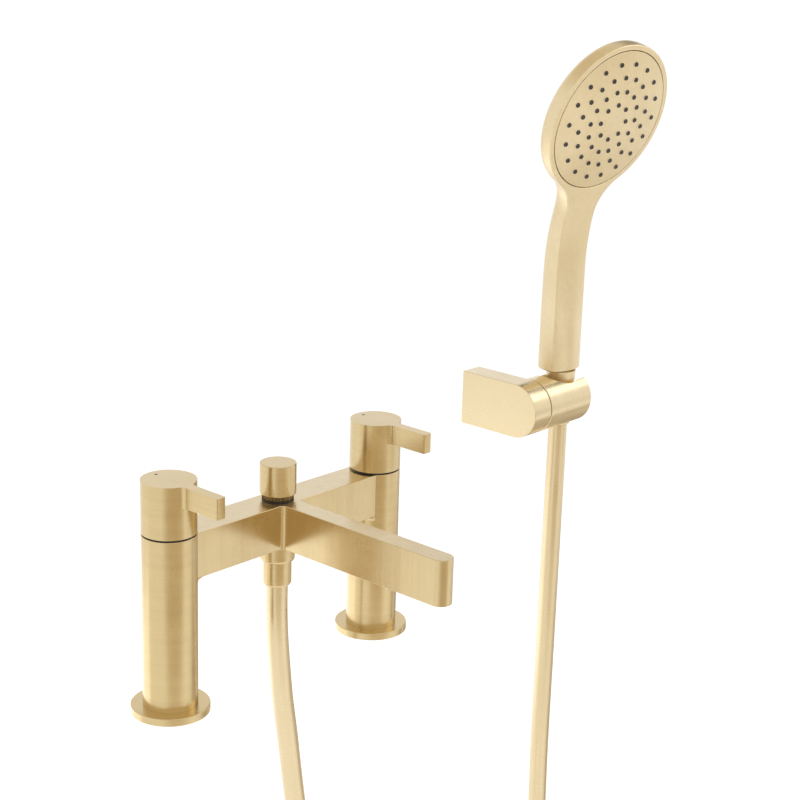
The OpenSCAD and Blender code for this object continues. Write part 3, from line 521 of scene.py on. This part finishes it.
def addBridge():
    low, high = nodeBox("bridge_body")
    low.z = high.z - bridge["height"]
    pillarLow, pillarHigh = nodeBox("pillar_hot")
    pitch = -(pillarLow.x + pillarHigh.x) / 2
    radius = (pillarHigh.x - pillarLow.x) / 2 + bridge["fit"]
    side, half, fillet = high.y, bridge["spoutWidth"] / 2, bridge["fillet"]
    gap = sqrt(radius ** 2 - side ** 2)
    cut = math.degrees(math.asin(side / radius))
    tip = low.y + half
    bm = bmesh.new()
    pen = bm.verts.new((gap - pitch, -side, 0))
    pen = line(bm, pen, -half - fillet, -side)
    pen = arc(bm, pen, -half - fillet, -side - fillet, -90)
    pen = line(bm, pen, -half, tip)
    pen = arc(bm, pen, 0, tip, 180)
    pen = line(bm, pen, half, -side - fillet)
    pen = arc(bm, pen, half + fillet, -side - fillet, -90)
    pen = line(bm, pen, pitch - gap, -side)
    pen = arc(bm, pen, pitch, 0, -2 * cut)
    pen = line(bm, pen, gap - pitch, side)
    arc(bm, pen, -pitch, 0, -2 * cut)
    plan = fillOutline(bm)
    raiseFaces(bm, [plan], (0, 0, high.z - low.z))

    def rimEdge(edge):  # level edges clear of the pillars, and the long ones that run across
        first, second = (v.co for v in edge.verts)
        axes = (Vector((-pitch, 0)), Vector((pitch, 0)))
        off = min(abs((end.xy - axis).length - radius) for end in (first, second) for axis in axes)
        level = abs(first.z - second.z) < pick["same"]
        across = abs(first.y - second.y) < pick["same"] and abs(first.x - second.x) > pick["near"]
        return level and off > pick["near"] / 2 or across

    soften(bm, bridge["rim"], only=rimEdge)
    move(bm, Matrix.Translation((0, 0, low.z)))
    insertLow, insertHigh = nodeBox("flow_insert")
    width = (insertHigh.x - insertLow.x) / 2 + bridge["fit"]
    slot = bmesh.new()
    pen = slot.verts.new((width, insertLow.y + width, 0))
    pen = line(slot, pen, width, insertHigh.y - width)
    pen = arc(slot, pen, 0, insertHigh.y - width, 180)
    pen = line(slot, pen, -width, insertLow.y + width)
    arc(slot, pen, 0, insertLow.y + width, 180)
    raiseFaces(slot, [fillOutline(slot)], (0, 0, bridge["recess"] + bridge["overcut"]))
    move(slot, Matrix.Translation((0, 0, low.z - bridge["overcut"])))
    bmesh.ops.recalc_face_normals(slot, faces=slot.faces)
    makePiece("bridge_spout", carve(bm, [slot]), "mixer", linishedGold, "brushed_gold", "bridge_body")
    for end, name in ((-1, "hot"), (1, "cold")):
        fillet = endFillet(end, radius, side, low.z)
        move(fillet, Matrix.Translation((end * pitch, 0, 0)))
        makePiece("bridge_fillet_" + name, fillet, "mixer", turnedGold, "brushed_gold")


addBridge()
print("bridge and spout made")


# diverter knob over its fluted collar
diverter = {"rim": 0.5, "flutes": 24, "fluteDepth": 0.7, "fluteFrom": 0.45, "collarFoot": 1.0, "ledge": 0.05}


def addDiverter():
    low, high = nodeBox("diverter_knob")
    radius = high.x
    knob = turn([(0, high.z), (radius, high.z), (radius, low.z), (0, low.z)])
    soften(knob, diverter["rim"])
    makePiece("diverter_pull", knob, "diverter", turnedGold, "brushed_gold", "diverter_knob")
    low, high = nodeBox("diverter_gland")
    bridgeTop = nodeBox("bridge_body")[1].z
    collar = bmesh.new()
    bmesh.ops.create_circle(collar, cap_ends=True, radius=high.x, segments=4 * diverter["flutes"])
    step = raiseFaces(collar, collar.faces[:], (0, 0, diverter["collarFoot"]))
    bmesh.ops.inset_region(collar, faces=step, thickness=diverter["ledge"])
    raiseFaces(collar, step, (0, 0, high.z - bridgeTop - diverter["collarFoot"]))
    outer = high.x - pick["same"]
    for vert in collar.verts:  # above the foot every second pair of points is drawn in, which leaves flutes
        turnShare = math.atan2(vert.co.y, vert.co.x) / (2 * math.pi) * diverter["flutes"] % 1
        if (vert.co.z > diverter["collarFoot"] / 2 and turnShare > diverter["fluteFrom"]
                and outer - diverter["ledge"] < vert.co.xy.length < outer):
            vert.co.xy *= 1 - diverter["fluteDepth"] / high.x
    bmesh.ops.recalc_face_normals(collar, faces=collar.faces)
    move(collar, Matrix.Translation((0, 0, bridgeTop)))
    # the collar is coloured near black: painted shade under the knob
    collarPiece = makePiece("diverter_collar", collar, "mixer", paintedShadeBrass, "raw_brass", "diverter_gland")
    collarPiece.data.materials.append(blackPlasticAndShade)
    footTop = (bridgeTop + diverter["collarFoot"]) * mm
    for part in collarPiece.data.polygons:  # black foot ring round the collar: painted shade under the knob
        part.material_index = int(part.center.z < footTop - pick["same"] * mm)


addDiverter()
print("diverter made")


# nut and ferrule at the mixer's end of the hose, conical nut at the handset's end
fittings = {"nutRound": 2.2, "nutStep": 15, "nutRim": 0.3, "chamfer": 0.7, "sharper": 20, "bore": 7.05,
            "crimpBore": 4.05, "coneFoot": 8.6, "coneBore": 9.6, "coneStep": 134.0, "coneRim": 0.5}


def addFittings():
    low, high = nodeBox("hose_nut")
    ferruleLow, ferruleHigh = nodeBox("ferrule")
    radius, ferrule = high.x, ferruleHigh.x
    angles = [radians(a) for a in range(0, 91, fittings["nutStep"])]
    foot = [(ferrule + (radius - ferrule) * cos(a), low.z + fittings["nutRound"] * (1 - sin(a)))
            for a in angles]
    nut = turn([(fittings["bore"], high.z), (radius, high.z), *foot, (fittings["bore"], low.z)])
    soften(nut, fittings["nutRim"], only=lambda e: min(v.co.z for v in e.verts) > high.z - pick["edge"])
    hoseNut = makePiece("hose_nut_shell", nut, "mixer", turnedGold, "brushed_gold", "hose_nut")
    inner, chamfer, foot = fittings["crimpBore"], fittings["chamfer"], ferruleLow.z
    crimp = turn([(inner, low.z), (ferrule, low.z), (ferrule, foot + 2 * chamfer), (ferrule - chamfer, foot),
                  (inner, foot)])
    soften(crimp, fittings["nutRim"], sharper=fittings["sharper"],
           only=lambda e: min(v.co.xy.length for v in e.verts) > ferrule - pick["near"])
    crimpPiece = makePiece("ferrule_crimp", crimp, "mixer", turnedGold, "brushed_gold", "ferrule")
    low, high = nodeBox("cone_nut")
    middle = (low + high) / 2
    top = (high.x - low.x) / 2
    bore, seat, step = fittings["bore"], fittings["coneBore"], fittings["coneStep"]
    cone = turn([(bore, low.z), (fittings["coneFoot"], low.z), (top, high.z), (seat, high.z), (seat, step),
                 (bore, step)])
    soften(cone, fittings["coneRim"])
    move(cone, Matrix.Translation((middle.x, middle.y, 0)))
    conePiece = makePiece("conical_nut", cone, "hose_cone", coneGold, "brushed_gold", "cone_nut")
    return [hoseNut, crimpPiece, conePiece]


hoseFittings = addFittings()
print("hose fittings made")


# wall bracket: D-shaped arm and turning holder with its open socket
bracket = {"rim": 0.5, "pocketWidth": 13, "pocketHeight": 32, "pocketDepth": 15, "slot": 16, "mouthDepth": 13,
           "mouthFlare": 8, "mouthShift": 3.5, "slotFlare": 7, "play": 0.25, "barrelSteps": 128,
           "cutBelow": 40, "cutLength": 60}


def addBracket():
    low, high = nodeBox("bracket_arm")
    radius = (high.z - low.z) / 2
    axis = Vector((low.x, low.y + radius, low.z + radius))
    wall = high.y - axis.y
    across = Matrix.Rotation(radians(90), 4, "Z") @ Matrix.Rotation(radians(90), 4, "X")
    onAxis = Matrix.Translation(axis) @ across
    bm = bmesh.new()
    pen = bm.verts.new((wall, -radius, 0))
    pen = line(bm, pen, wall, radius)
    pen = line(bm, pen, 0, radius)
    pen = arc(bm, pen, 0, 0, 180)
    line(bm, pen, wall, -radius)
    raiseFaces(bm, [fillOutline(bm)], (0, 0, high.x - low.x))
    soften(bm, bracket["rim"], only=lambda e: min(v.co.x for v in e.verts) < wall - pick["edge"])
    width = high.x - low.x
    pocket = bmesh.new()
    bmesh.ops.create_cube(pocket, size=1)
    bmesh.ops.scale(pocket, vec=(2 * bracket["pocketDepth"], bracket["pocketHeight"], bracket["pocketWidth"]),
                    verts=pocket.verts)
    move(pocket, Matrix.Translation((wall, 0, width / 2)))
    grubLow, grubHigh = nodeBox("arm_grub")
    hole = grubHole((grubLow.y + grubHigh.y) / 2 - axis.y, -radius, width / 2)
    arm = move(carve(bm, [pocket, hole]), onAxis)
    makePiece("bracket_block", arm, "mixer", sidewaysGold, "brushed_gold", "bracket_arm")
    low, high = nodeBox("holder")
    coneLow, coneHigh = nodeBox("cone_nut")
    socket = (coneLow + coneHigh) / 2
    topRadius = (coneHigh.x - coneLow.x) / 2
    barrel = turn([(0, 0), (radius, 0), (radius, high.x - low.x), (0, high.x - low.x)],
                  steps=bracket["barrelSteps"])
    soften(barrel, bracket["rim"])
    move(barrel, Matrix.Translation((low.x - axis.x, 0, 0)) @ onAxis)
    play = bracket["play"]
    coneHeight = coneHigh.z - coneLow.z
    coneFoot, below = fittings["coneFoot"], -bracket["cutBelow"]
    taper = turn([(0, below), (coneFoot + play, below), (coneFoot + play, 0), (topRadius + play, coneHeight),
                  (0, coneHeight)])
    move(taper, Matrix.Translation((socket.x, socket.y, coneLow.z)))
    mouthFoot = high.z - bracket["mouthDepth"]
    footRadius = coneFoot + play + (topRadius - coneFoot) * (mouthFoot - coneLow.z) / coneHeight
    shift, rise = bracket["mouthShift"], bracket["mouthDepth"]
    wide = footRadius + 2 * bracket["mouthFlare"] + shift
    flare = turn([(0, 0), (footRadius - shift, 0), (wide, 2 * rise), (0, 2 * rise)])
    move(flare, Matrix.Translation((socket.x - shift, socket.y, mouthFoot)))
    half, drop = bracket["slot"] / 2, radius - bracket["mouthDepth"]
    slot = bmesh.new()
    pen = slot.verts.new((-half, -2 * radius, 0))
    pen = line(slot, pen, half, -2 * radius)
    pen = line(slot, pen, half, drop)
    pen = line(slot, pen, half + 2 * bracket["slotFlare"], drop + 2 * rise)
    pen = line(slot, pen, -half - 2 * bracket["slotFlare"], drop + 2 * rise)
    pen = line(slot, pen, -half, drop)
    line(slot, pen, -half, -2 * radius)
    raiseFaces(slot, [fillOutline(slot)], (0, 0, bracket["cutLength"]))
    bmesh.ops.recalc_face_normals(slot, faces=slot.faces)
    move(slot, Matrix.Translation((socket.x - axis.x, 0, 0)) @ onAxis)
    holder = carve(barrel, [taper, flare, slot])
    makePiece("handset_holder", holder, "holder", sidewaysGold, "brushed_gold", "holder")


addBracket()
print("wall bracket made")


# handset: a lofted paddle with a domed nozzle face
handset = {"turn": -6, "foot": 149.0, "footRim": 0.8, "tilt": 18.2,
           "gripWidth": 14.7, "gripFront": 5.1, "gripDepth": 21.5, "gripBulge": 4.5, "gripLength": 77,
           "gripRound": 3, "neckWidth": 15.2, "neckRadius": 165, "neckLength": 62.5, "neckFlare": 32,
           "headRadius": 56.5, "headDepth": 16.5, "headRound": 5, "headSpin": 72, "crease": 1.2,
           "frontCuts": 12, "backCuts": 44, "creaseCuts": 5, "gripCuts": 18, "neckCuts": 16, "headCuts": 24}
face = {"radius": 52, "thickness": 2.4, "dome": 3.5, "gap": 0.5, "recess": 4.2, "lipRim": 0.35, "rim": 0.5,
        "rings": ((43, 18, 0), (33, 18, 10), (23, 14, 0), (13, 8, 0)), "nozzle": 1.9, "nozzleTop": 1.5,
        "nozzleHeight": 0.8, "nozzleSink": 0.1, "nozzleSides": 14, "jet": 0.6, "steps": 144, "domeCuts": 16,
        "overcut": 1}


def smooth(share):
    share = min(1, max(0, share))
    return share * share * (3 - 2 * share)


neckArc = handset["neckRadius"] * radians(handset["tilt"])
headAt = handset["gripLength"] + neckArc + handset["neckLength"]
flareFrom = -sqrt((handset["headRadius"] + handset["neckFlare"]) ** 2
                  - (handset["neckWidth"] + handset["neckFlare"]) ** 2)
flareTo = flareFrom * handset["headRadius"] / (handset["headRadius"] + handset["neckFlare"])
flareAt = headAt + flareFrom


def frontLine(s):  # distance forward, height and lean of the handset's front
    lean = min(radians(handset["tilt"]), max(0, (s - handset["gripLength"]) / handset["neckRadius"]))
    forward = handset["gripFront"] + handset["neckRadius"] * (1 - cos(lean))
    height = min(s, handset["gripLength"]) + handset["neckRadius"] * sin(lean)
    beyond = max(0, s - handset["gripLength"] - neckArc)
    return forward + beyond * sin(lean), height + beyond * cos(lean), lean


def halfWidth(s, inset):  # half the handset's width at a distance along its front, inset from its outline
    t = s - headAt
    flare, radius = handset["neckFlare"], handset["headRadius"]
    if t < flareFrom:
        widening = handset["neckWidth"] - handset["gripWidth"]
        return handset["gripWidth"] + widening * smooth(s / flareAt) - inset
    if t < flareTo * (1 - inset / radius):
        return handset["neckWidth"] + flare - sqrt((flare + inset) ** 2 - (t - flareFrom) ** 2)
    return sqrt(max(0, (radius - inset) ** 2 - t ** 2))


def section(s, inset=0):  # one closed ring of points, across the front and then round the back
    crease, headRound = handset["crease"], handset["headRound"]
    share = smooth(s / flareAt)
    grip = handset["gripLength"]
    thinning = smooth((2 * s - grip) / (2 * headAt - grip))
    depth = handset["gripDepth"] + (handset["headDepth"] - handset["gripDepth"]) * thinning
    gripRound = handset["gripRound"]
    power = 2 / (gripRound + (headRound - gripRound) * smooth((s - flareAt) / -flareFrom))
    bulge = handset["gripBulge"] * (1 - share)
    width = halfWidth(s, inset)

    def bowed(x):  # how far the front swells
        return bulge * (1 - (x / width) ** 2)

    right = []
    for i in range(handset["creaseCuts"] + 1):  # rounded edge, from the front in to the side
        a = radians(90) * i / handset["creaseCuts"]
        back = crease * (1 - sin(a))
        x = halfWidth(s, inset + back)
        drop = crease - sqrt(crease ** 2 - (crease - back) ** 2)
        right.append((x, bowed(x) - drop - inset))
    flat, level = right[0]
    cuts = handset["frontCuts"]
    middle = [flat * (2 * i / cuts - 1) for i in range(1, cuts)]
    middle = [(x, bowed(x) + level - bowed(flat)) for x in middle]
    behind = []
    for i in range(1, handset["backCuts"]):
        a = math.pi * i / handset["backCuts"]
        x = math.copysign(abs(cos(a)) ** power, cos(a))
        behind.append((width * x, -inset - crease - (depth - 2 * inset - crease) * sin(a) ** power))
    points = [*((-x, y) for x, y in reversed(right)), *middle, *right, *behind]
    forward, height, lean = frontLine(s)
    return [Vector((x, -(forward + y * cos(lean)), height - y * sin(lean))) for x, y in points]


def handsetPlace():
    low, high = nodeBox("cone_nut")
    return (Matrix.Translation(((low.x + high.x) / 2, (low.y + high.y) / 2, handset["foot"]))
            @ Matrix.Rotation(radians(handset["turn"]), 4, "Z"))


def facePlace():
    forward, height, lean = frontLine(headAt)
    return Matrix.Translation((0, -forward, height)) @ Matrix.Rotation(radians(90) + lean, 4, "X")


def addHandset():
    grip = handset["gripLength"]
    headFrom = headAt + flareTo
    spread = math.asin(flareTo / handset["headRadius"])
    neckEnd = grip + neckArc
    gripCuts, neckCuts, headCuts = handset["gripCuts"], handset["neckCuts"], handset["headCuts"]
    stations = [handset["footRim"]]
    stations += [grip * i / gripCuts for i in range(1, gripCuts + 1)]
    stations += [grip + neckArc * i / neckCuts for i in range(1, neckCuts + 1)]
    stations += [neckEnd + (headFrom - grip - neckArc) * i / neckCuts for i in range(1, neckCuts + 1)]
    stations += [headAt + handset["headRadius"] * sin(spread * (1 - i / headCuts))
                 for i in range(1, headCuts + 1)]
    bm = bmesh.new()
    spot = bm.verts.layers.int.new("spot")
    ring = [bm.verts.new(point) for point in section(0, handset["footRim"])]
    for index, vert in enumerate(ring):
        vert[spot] = index
    front = bm.faces.new(ring)
    for s in stations:
        front = raiseFaces(bm, [front], (0, 0, 0))[0]
        points = section(s)
        for vert in front.verts:
            vert.co = points[vert[spot]]
    half = [edge for edge in front.edges if all(vert.co.x < pick["same"] for vert in edge.verts)]
    ends = dict.fromkeys(vert for edge in half for vert in edge.verts)
    bmesh.ops.delete(bm, geom=[front], context="FACES_ONLY")
    bmesh.ops.spin(bm, geom=[*ends, *half], cent=facePlace().translation, axis=facePlace().col[2].xyz,
                   angle=-math.pi, steps=handset["headSpin"])  # the left half sweeps over the head
    bmesh.ops.remove_doubles(bm, verts=bm.verts, dist=weld["drawn"])
    bmesh.ops.recalc_face_normals(bm, faces=bm.faces)
    hole, over = face["radius"] + face["gap"], face["overcut"]
    recess = turn([(0, -face["recess"]), (hole, -face["recess"]), (hole, -face["lipRim"]),
                   (hole + face["lipRim"] + over, over), (0, over)], steps=face["steps"])
    bm = carve(bm, [move(recess, facePlace())])
    move(bm, handsetPlace())
    makePiece("handset_shell", bm, "handset", satinGold, "handset_gold", "handset_body")


def domeAt(radius):
    return face["dome"] * (1 - (radius / face["radius"]) ** 2)


def addFace():
    outer = face["radius"]
    radii = [outer * i / face["domeCuts"] for i in range(face["domeCuts"] + 1)]
    plate = turn([*((radius, domeAt(radius)) for radius in radii), (outer, -face["thickness"]),
                  (0, -face["thickness"])], steps=face["steps"])
    soften(plate, face["rim"], only=lambda e: min(v.co.z for v in e.verts) > -pick["near"]
           and min(v.co.xy.length for v in e.verts) > outer - pick["edge"])
    move(plate, handsetPlace() @ facePlace())
    makePiece("spray_face", plate, "handset", satinGold, "handset_gold", "face_plate")
    nozzles = bmesh.new()
    for radius, count, start in face["rings"]:
        for i in range(count):
            spun = Matrix.Rotation(radians(start + 360 * (i + 1) / count), 4, "Z")
            lean = Matrix.Rotation(2 * face["dome"] * radius / outer ** 2, 4, "Y")
            height = domeAt(radius) + face["nozzleHeight"] / 2 - face["nozzleSink"]
            place = spun @ Matrix.Translation((radius, 0, height)) @ lean
            nub = bmesh.ops.create_cone(nozzles, cap_ends=True, radius1=face["nozzle"],
                                        radius2=face["nozzleTop"], depth=face["nozzleHeight"],
                                        segments=face["nozzleSides"], matrix=place)["verts"]
            sides = dict.fromkeys(f for v in nub for f in v.link_faces)
            top = max(sides, key=lambda f: (place.inverted() @ f.calc_center_median()).z)
            bmesh.ops.inset_region(nozzles, faces=[top], thickness=face["nozzleTop"] - face["jet"])
            bore = Vector((0, 0, face["nozzleSink"] - face["nozzleHeight"]))
            raiseFaces(nozzles, [top], place.to_3x3() @ bore)
    move(nozzles, handsetPlace() @ facePlace())
    makePiece("nozzle_tips", nozzles, "handset", greyRubber, "grey_rubber", "nozzle_mat")


addHandset()
addFace()
print("handset made")


# index dots on the knobs
index = {"rise": 0.12, "shoulder": 0.6, "shoulderRise": 0.8, "steps": 32}


def addIndex(side, finish):
    low, high = nodeBox("index_" + side)
    radius = (high.x - low.x) / 2
    dot = turn([(0, high.z + index["rise"]),
                (radius * index["shoulder"], high.z + index["rise"] * index["shoulderRise"]),
                (radius, high.z), (radius, low.z), (0, low.z)], steps=index["steps"])
    move(dot, Matrix.Translation(((low.x + high.x) / 2, (low.y + high.y) / 2, 0)))
    slot = "index_red" if side == "hot" else "index_blue"
    makePiece("index_dot_" + side, dot, "lever_" + side, finish, slot, "index_" + side)


addIndex("hot", redEnamel)
addIndex("cold", blueEnamel)

# pieces inside keep their CAD shape
innerFinishes = {
    rawBrass: ("cartridge", "spindle", "union", "diverter_plunger", "outlet_nipple", "hose_tail",
               "inlet_nipple"),
    steel: ("lever_grub", "diverter_stem", "wall_plate", "arm_grub", "pivot_stud"),
    # the black glide rings are real parts whose black also paints the shaded gap under each knob
    blackPlasticAndShade: ("glide_ring", "flow_insert", "friction_washer"),
    blackRubber: ("seat_washer", "diverter_seal", "outlet_washer", "cone_washer"),
    ceramic: ("fixed_disc", "moving_disc"),
    whitePlastic: ("check_valve",),
}
for finish, names in innerFinishes.items():
    for name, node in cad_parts.items():
        if name.startswith(names):
            node.data.materials.clear()
            node.data.materials.append(finish)
print("inner pieces finished")


# pale floor below the hose's loop, soft light and a white surround
studio = {"floorDrop": 0.012, "floorSize": 60, "floorTone": (0.80, 0.80, 0.80), "floorRough": 0.9,
          "floorGlow": 0.54, "sky": 0.55}
aim = (0.1, 0, 0.1)
lamps = {  # place, size and strength in watts
    "low": {"place": (-0.10, 0.80, -0.40), "size": (1.4, 0.28), "power": 0.65},
    "front": {"place": (1.57, -0.91, 1.17), "size": (1.3, 0.6), "power": 2.6},
    "top": {"place": (0.1, 0.1, 2.2), "size": (1.8, 1.8), "power": 16},
}
cards = {  # outside the picture, each fading to white at its edges: place, what it faces, size and tone
    "behind": {"place": (-0.45, -1.05, -0.40), "aim": (0, 0, -0.4),
               "size": (2.4, 1.2), "tone": (0.66, 0.55, 0.39)},
    "beside": {"place": (0.95, 0.35, -0.42), "aim": (0, 0, -0.42),
               "size": (1.4, 0.7), "tone": (0.45, 0.37, 0.26)},
    "mat": {"place": (1.20, -0.25, -0.54), "aim": (1.2, -0.25, 1),
            "size": (1.5, 1.3), "tone": (0.55, 0.47, 0.34)},
    "far": {"place": (1.30, -1.60, -0.20), "aim": aim,
            "size": (1.6, 1.0), "tone": (0.70, 0.60, 0.46)},
    "near": {"place": (-0.20, -1.90, -0.20), "aim": aim,
             "size": (1.8, 1.0), "tone": (0.30, 0.24, 0.16)},
    "upper": {"place": (1.67, 0.38, 1.19), "aim": aim,
              "size": (1.9, 1.1), "tone": (0.03, 0.02, 0.01)},
    "ceiling": {"place": (0.1, 0.4, 1.7), "aim": (0.1, 0.4, 0),
                "size": (3.6, 3.6), "tone": (0.65, 0.56, 0.42)},
}
cardFade = 0.6  # share of a card's half width over which it fades


def seenDirectly(tree):  # one for rays from the camera or off a mirror or through glass
    path = tree.nodes.new("ShaderNodeLightPath")
    first = tree.nodes.new("ShaderNodeMath")
    second = tree.nodes.new("ShaderNodeMath")
    first.operation = second.operation = "MAXIMUM"
    tree.links.new(path.outputs["Is Camera Ray"], first.inputs[0])
    tree.links.new(path.outputs["Is Glossy Ray"], first.inputs[1])
    tree.links.new(first.outputs[0], second.inputs[0])
    tree.links.new(path.outputs["Is Transmission Ray"], second.inputs[1])
    return second.outputs[0]


def facing(place, target):  # stands at a place and looks at a target
    turned = (Vector(target) - Vector(place)).to_track_quat("-Z", "Y")
    return Matrix.Translation(place) @ turned.to_matrix().to_4x4()


def addCard(name, card):  # it only shows in the metal
    bm = bmesh.new()
    bm.loops.layers.uv.new("card")
    bmesh.ops.create_grid(bm, x_segments=1, y_segments=1, size=0.5, calc_uvs=True)
    bmesh.ops.scale(bm, vec=(*card["size"], 1), verts=bm.verts)
    move(bm, facing(card["place"], card["aim"]))
    made = newObject("card_" + name, bm)
    material, tree, shader = newMaterial("card_" + name)
    coords = tree.nodes.new("ShaderNodeTexCoord")
    centred = addNode(tree, "Mapping", Location=(-1, -1, 0), Scale=(2, 2, 0))
    spot = tree.nodes.new("ShaderNodeTexGradient")
    spot.gradient_type = "SPHERICAL"
    fade = addNode(tree, "MapRange", From_Max=cardFade)
    fade.interpolation_type = "SMOOTHSTEP"
    tone = mixTones(tree, (1, 1, 1), card["tone"])
    tree.links.new(coords.outputs["UV"], centred.inputs["Vector"])
    tree.links.new(centred.outputs["Vector"], spot.inputs["Vector"])
    tree.links.new(spot.outputs["Fac"], fade.inputs["Value"])
    tree.links.new(fade.outputs["Result"], tone.inputs[0])
    tree.links.new(tone.outputs[2], shader.inputs["Emission Color"])
    shader.inputs["Base Color"].default_value = (0, 0, 0, 1)
    shader.inputs["Specular IOR Level"].default_value = 0
    shader.inputs["Emission Strength"].default_value = 1
    made.data.materials.append(material)
    made.visible_camera = made.visible_diffuse = made.visible_shadow = False


def addStudio():
    scene = bpy.context.scene
    scene.view_settings.view_transform = "Standard"
    world = bpy.data.worlds.new("studio")
    scene.world = world
    world.use_nodes = True
    tree = world.node_tree
    background = tree.nodes["Background"]
    level = addNode(tree, "MapRange", To_Min=studio["sky"], To_Max=1.0)
    tree.links.new(seenDirectly(tree), level.inputs["Value"])
    background.inputs["Color"].default_value = (1, 1, 1, 1)
    tree.links.new(level.outputs["Result"], background.inputs["Strength"])
    bm = bmesh.new()
    bmesh.ops.create_grid(bm, x_segments=1, y_segments=1, size=studio["floorSize"] / 2)
    move(bm, Matrix.Translation((0, 0, cadLow.z - studio["floorDrop"])))
    floor = newObject("floor", bm)
    material, tree, shader = newMaterial("paleFloor")
    shader.inputs["Base Color"].default_value = (*studio["floorTone"], 1)
    shader.inputs["Roughness"].default_value = studio["floorRough"]
    glow = addNode(tree, "Emission", Color=(1, 1, 1, 1))
    amount = addNode(tree, "MapRange", To_Min=0.0, To_Max=studio["floorGlow"])
    both = tree.nodes.new("ShaderNodeAddShader")
    tree.links.new(seenDirectly(tree), amount.inputs["Value"])
    tree.links.new(amount.outputs["Result"], glow.inputs["Strength"])
    tree.links.new(shader.outputs[0], both.inputs[0])
    tree.links.new(glow.outputs[0], both.inputs[1])
    tree.links.new(both.outputs[0], tree.nodes["Material Output"].inputs["Surface"])
    floor.data.materials.append(material)
    for name, card in cards.items():
        addCard(name, card)
    for name, lamp in lamps.items():
        data = bpy.data.lights.new(name, "AREA")
        data.shape = "RECTANGLE"
        data.size, data.size_y = lamp["size"]
        data.energy = lamp["power"]
        light = bpy.data.objects.new(name, data)
        scene.collection.objects.link(light)
        light.matrix_world = facing(lamp["place"], aim)
        light.visible_camera = False


addStudio()
print("studio lit")
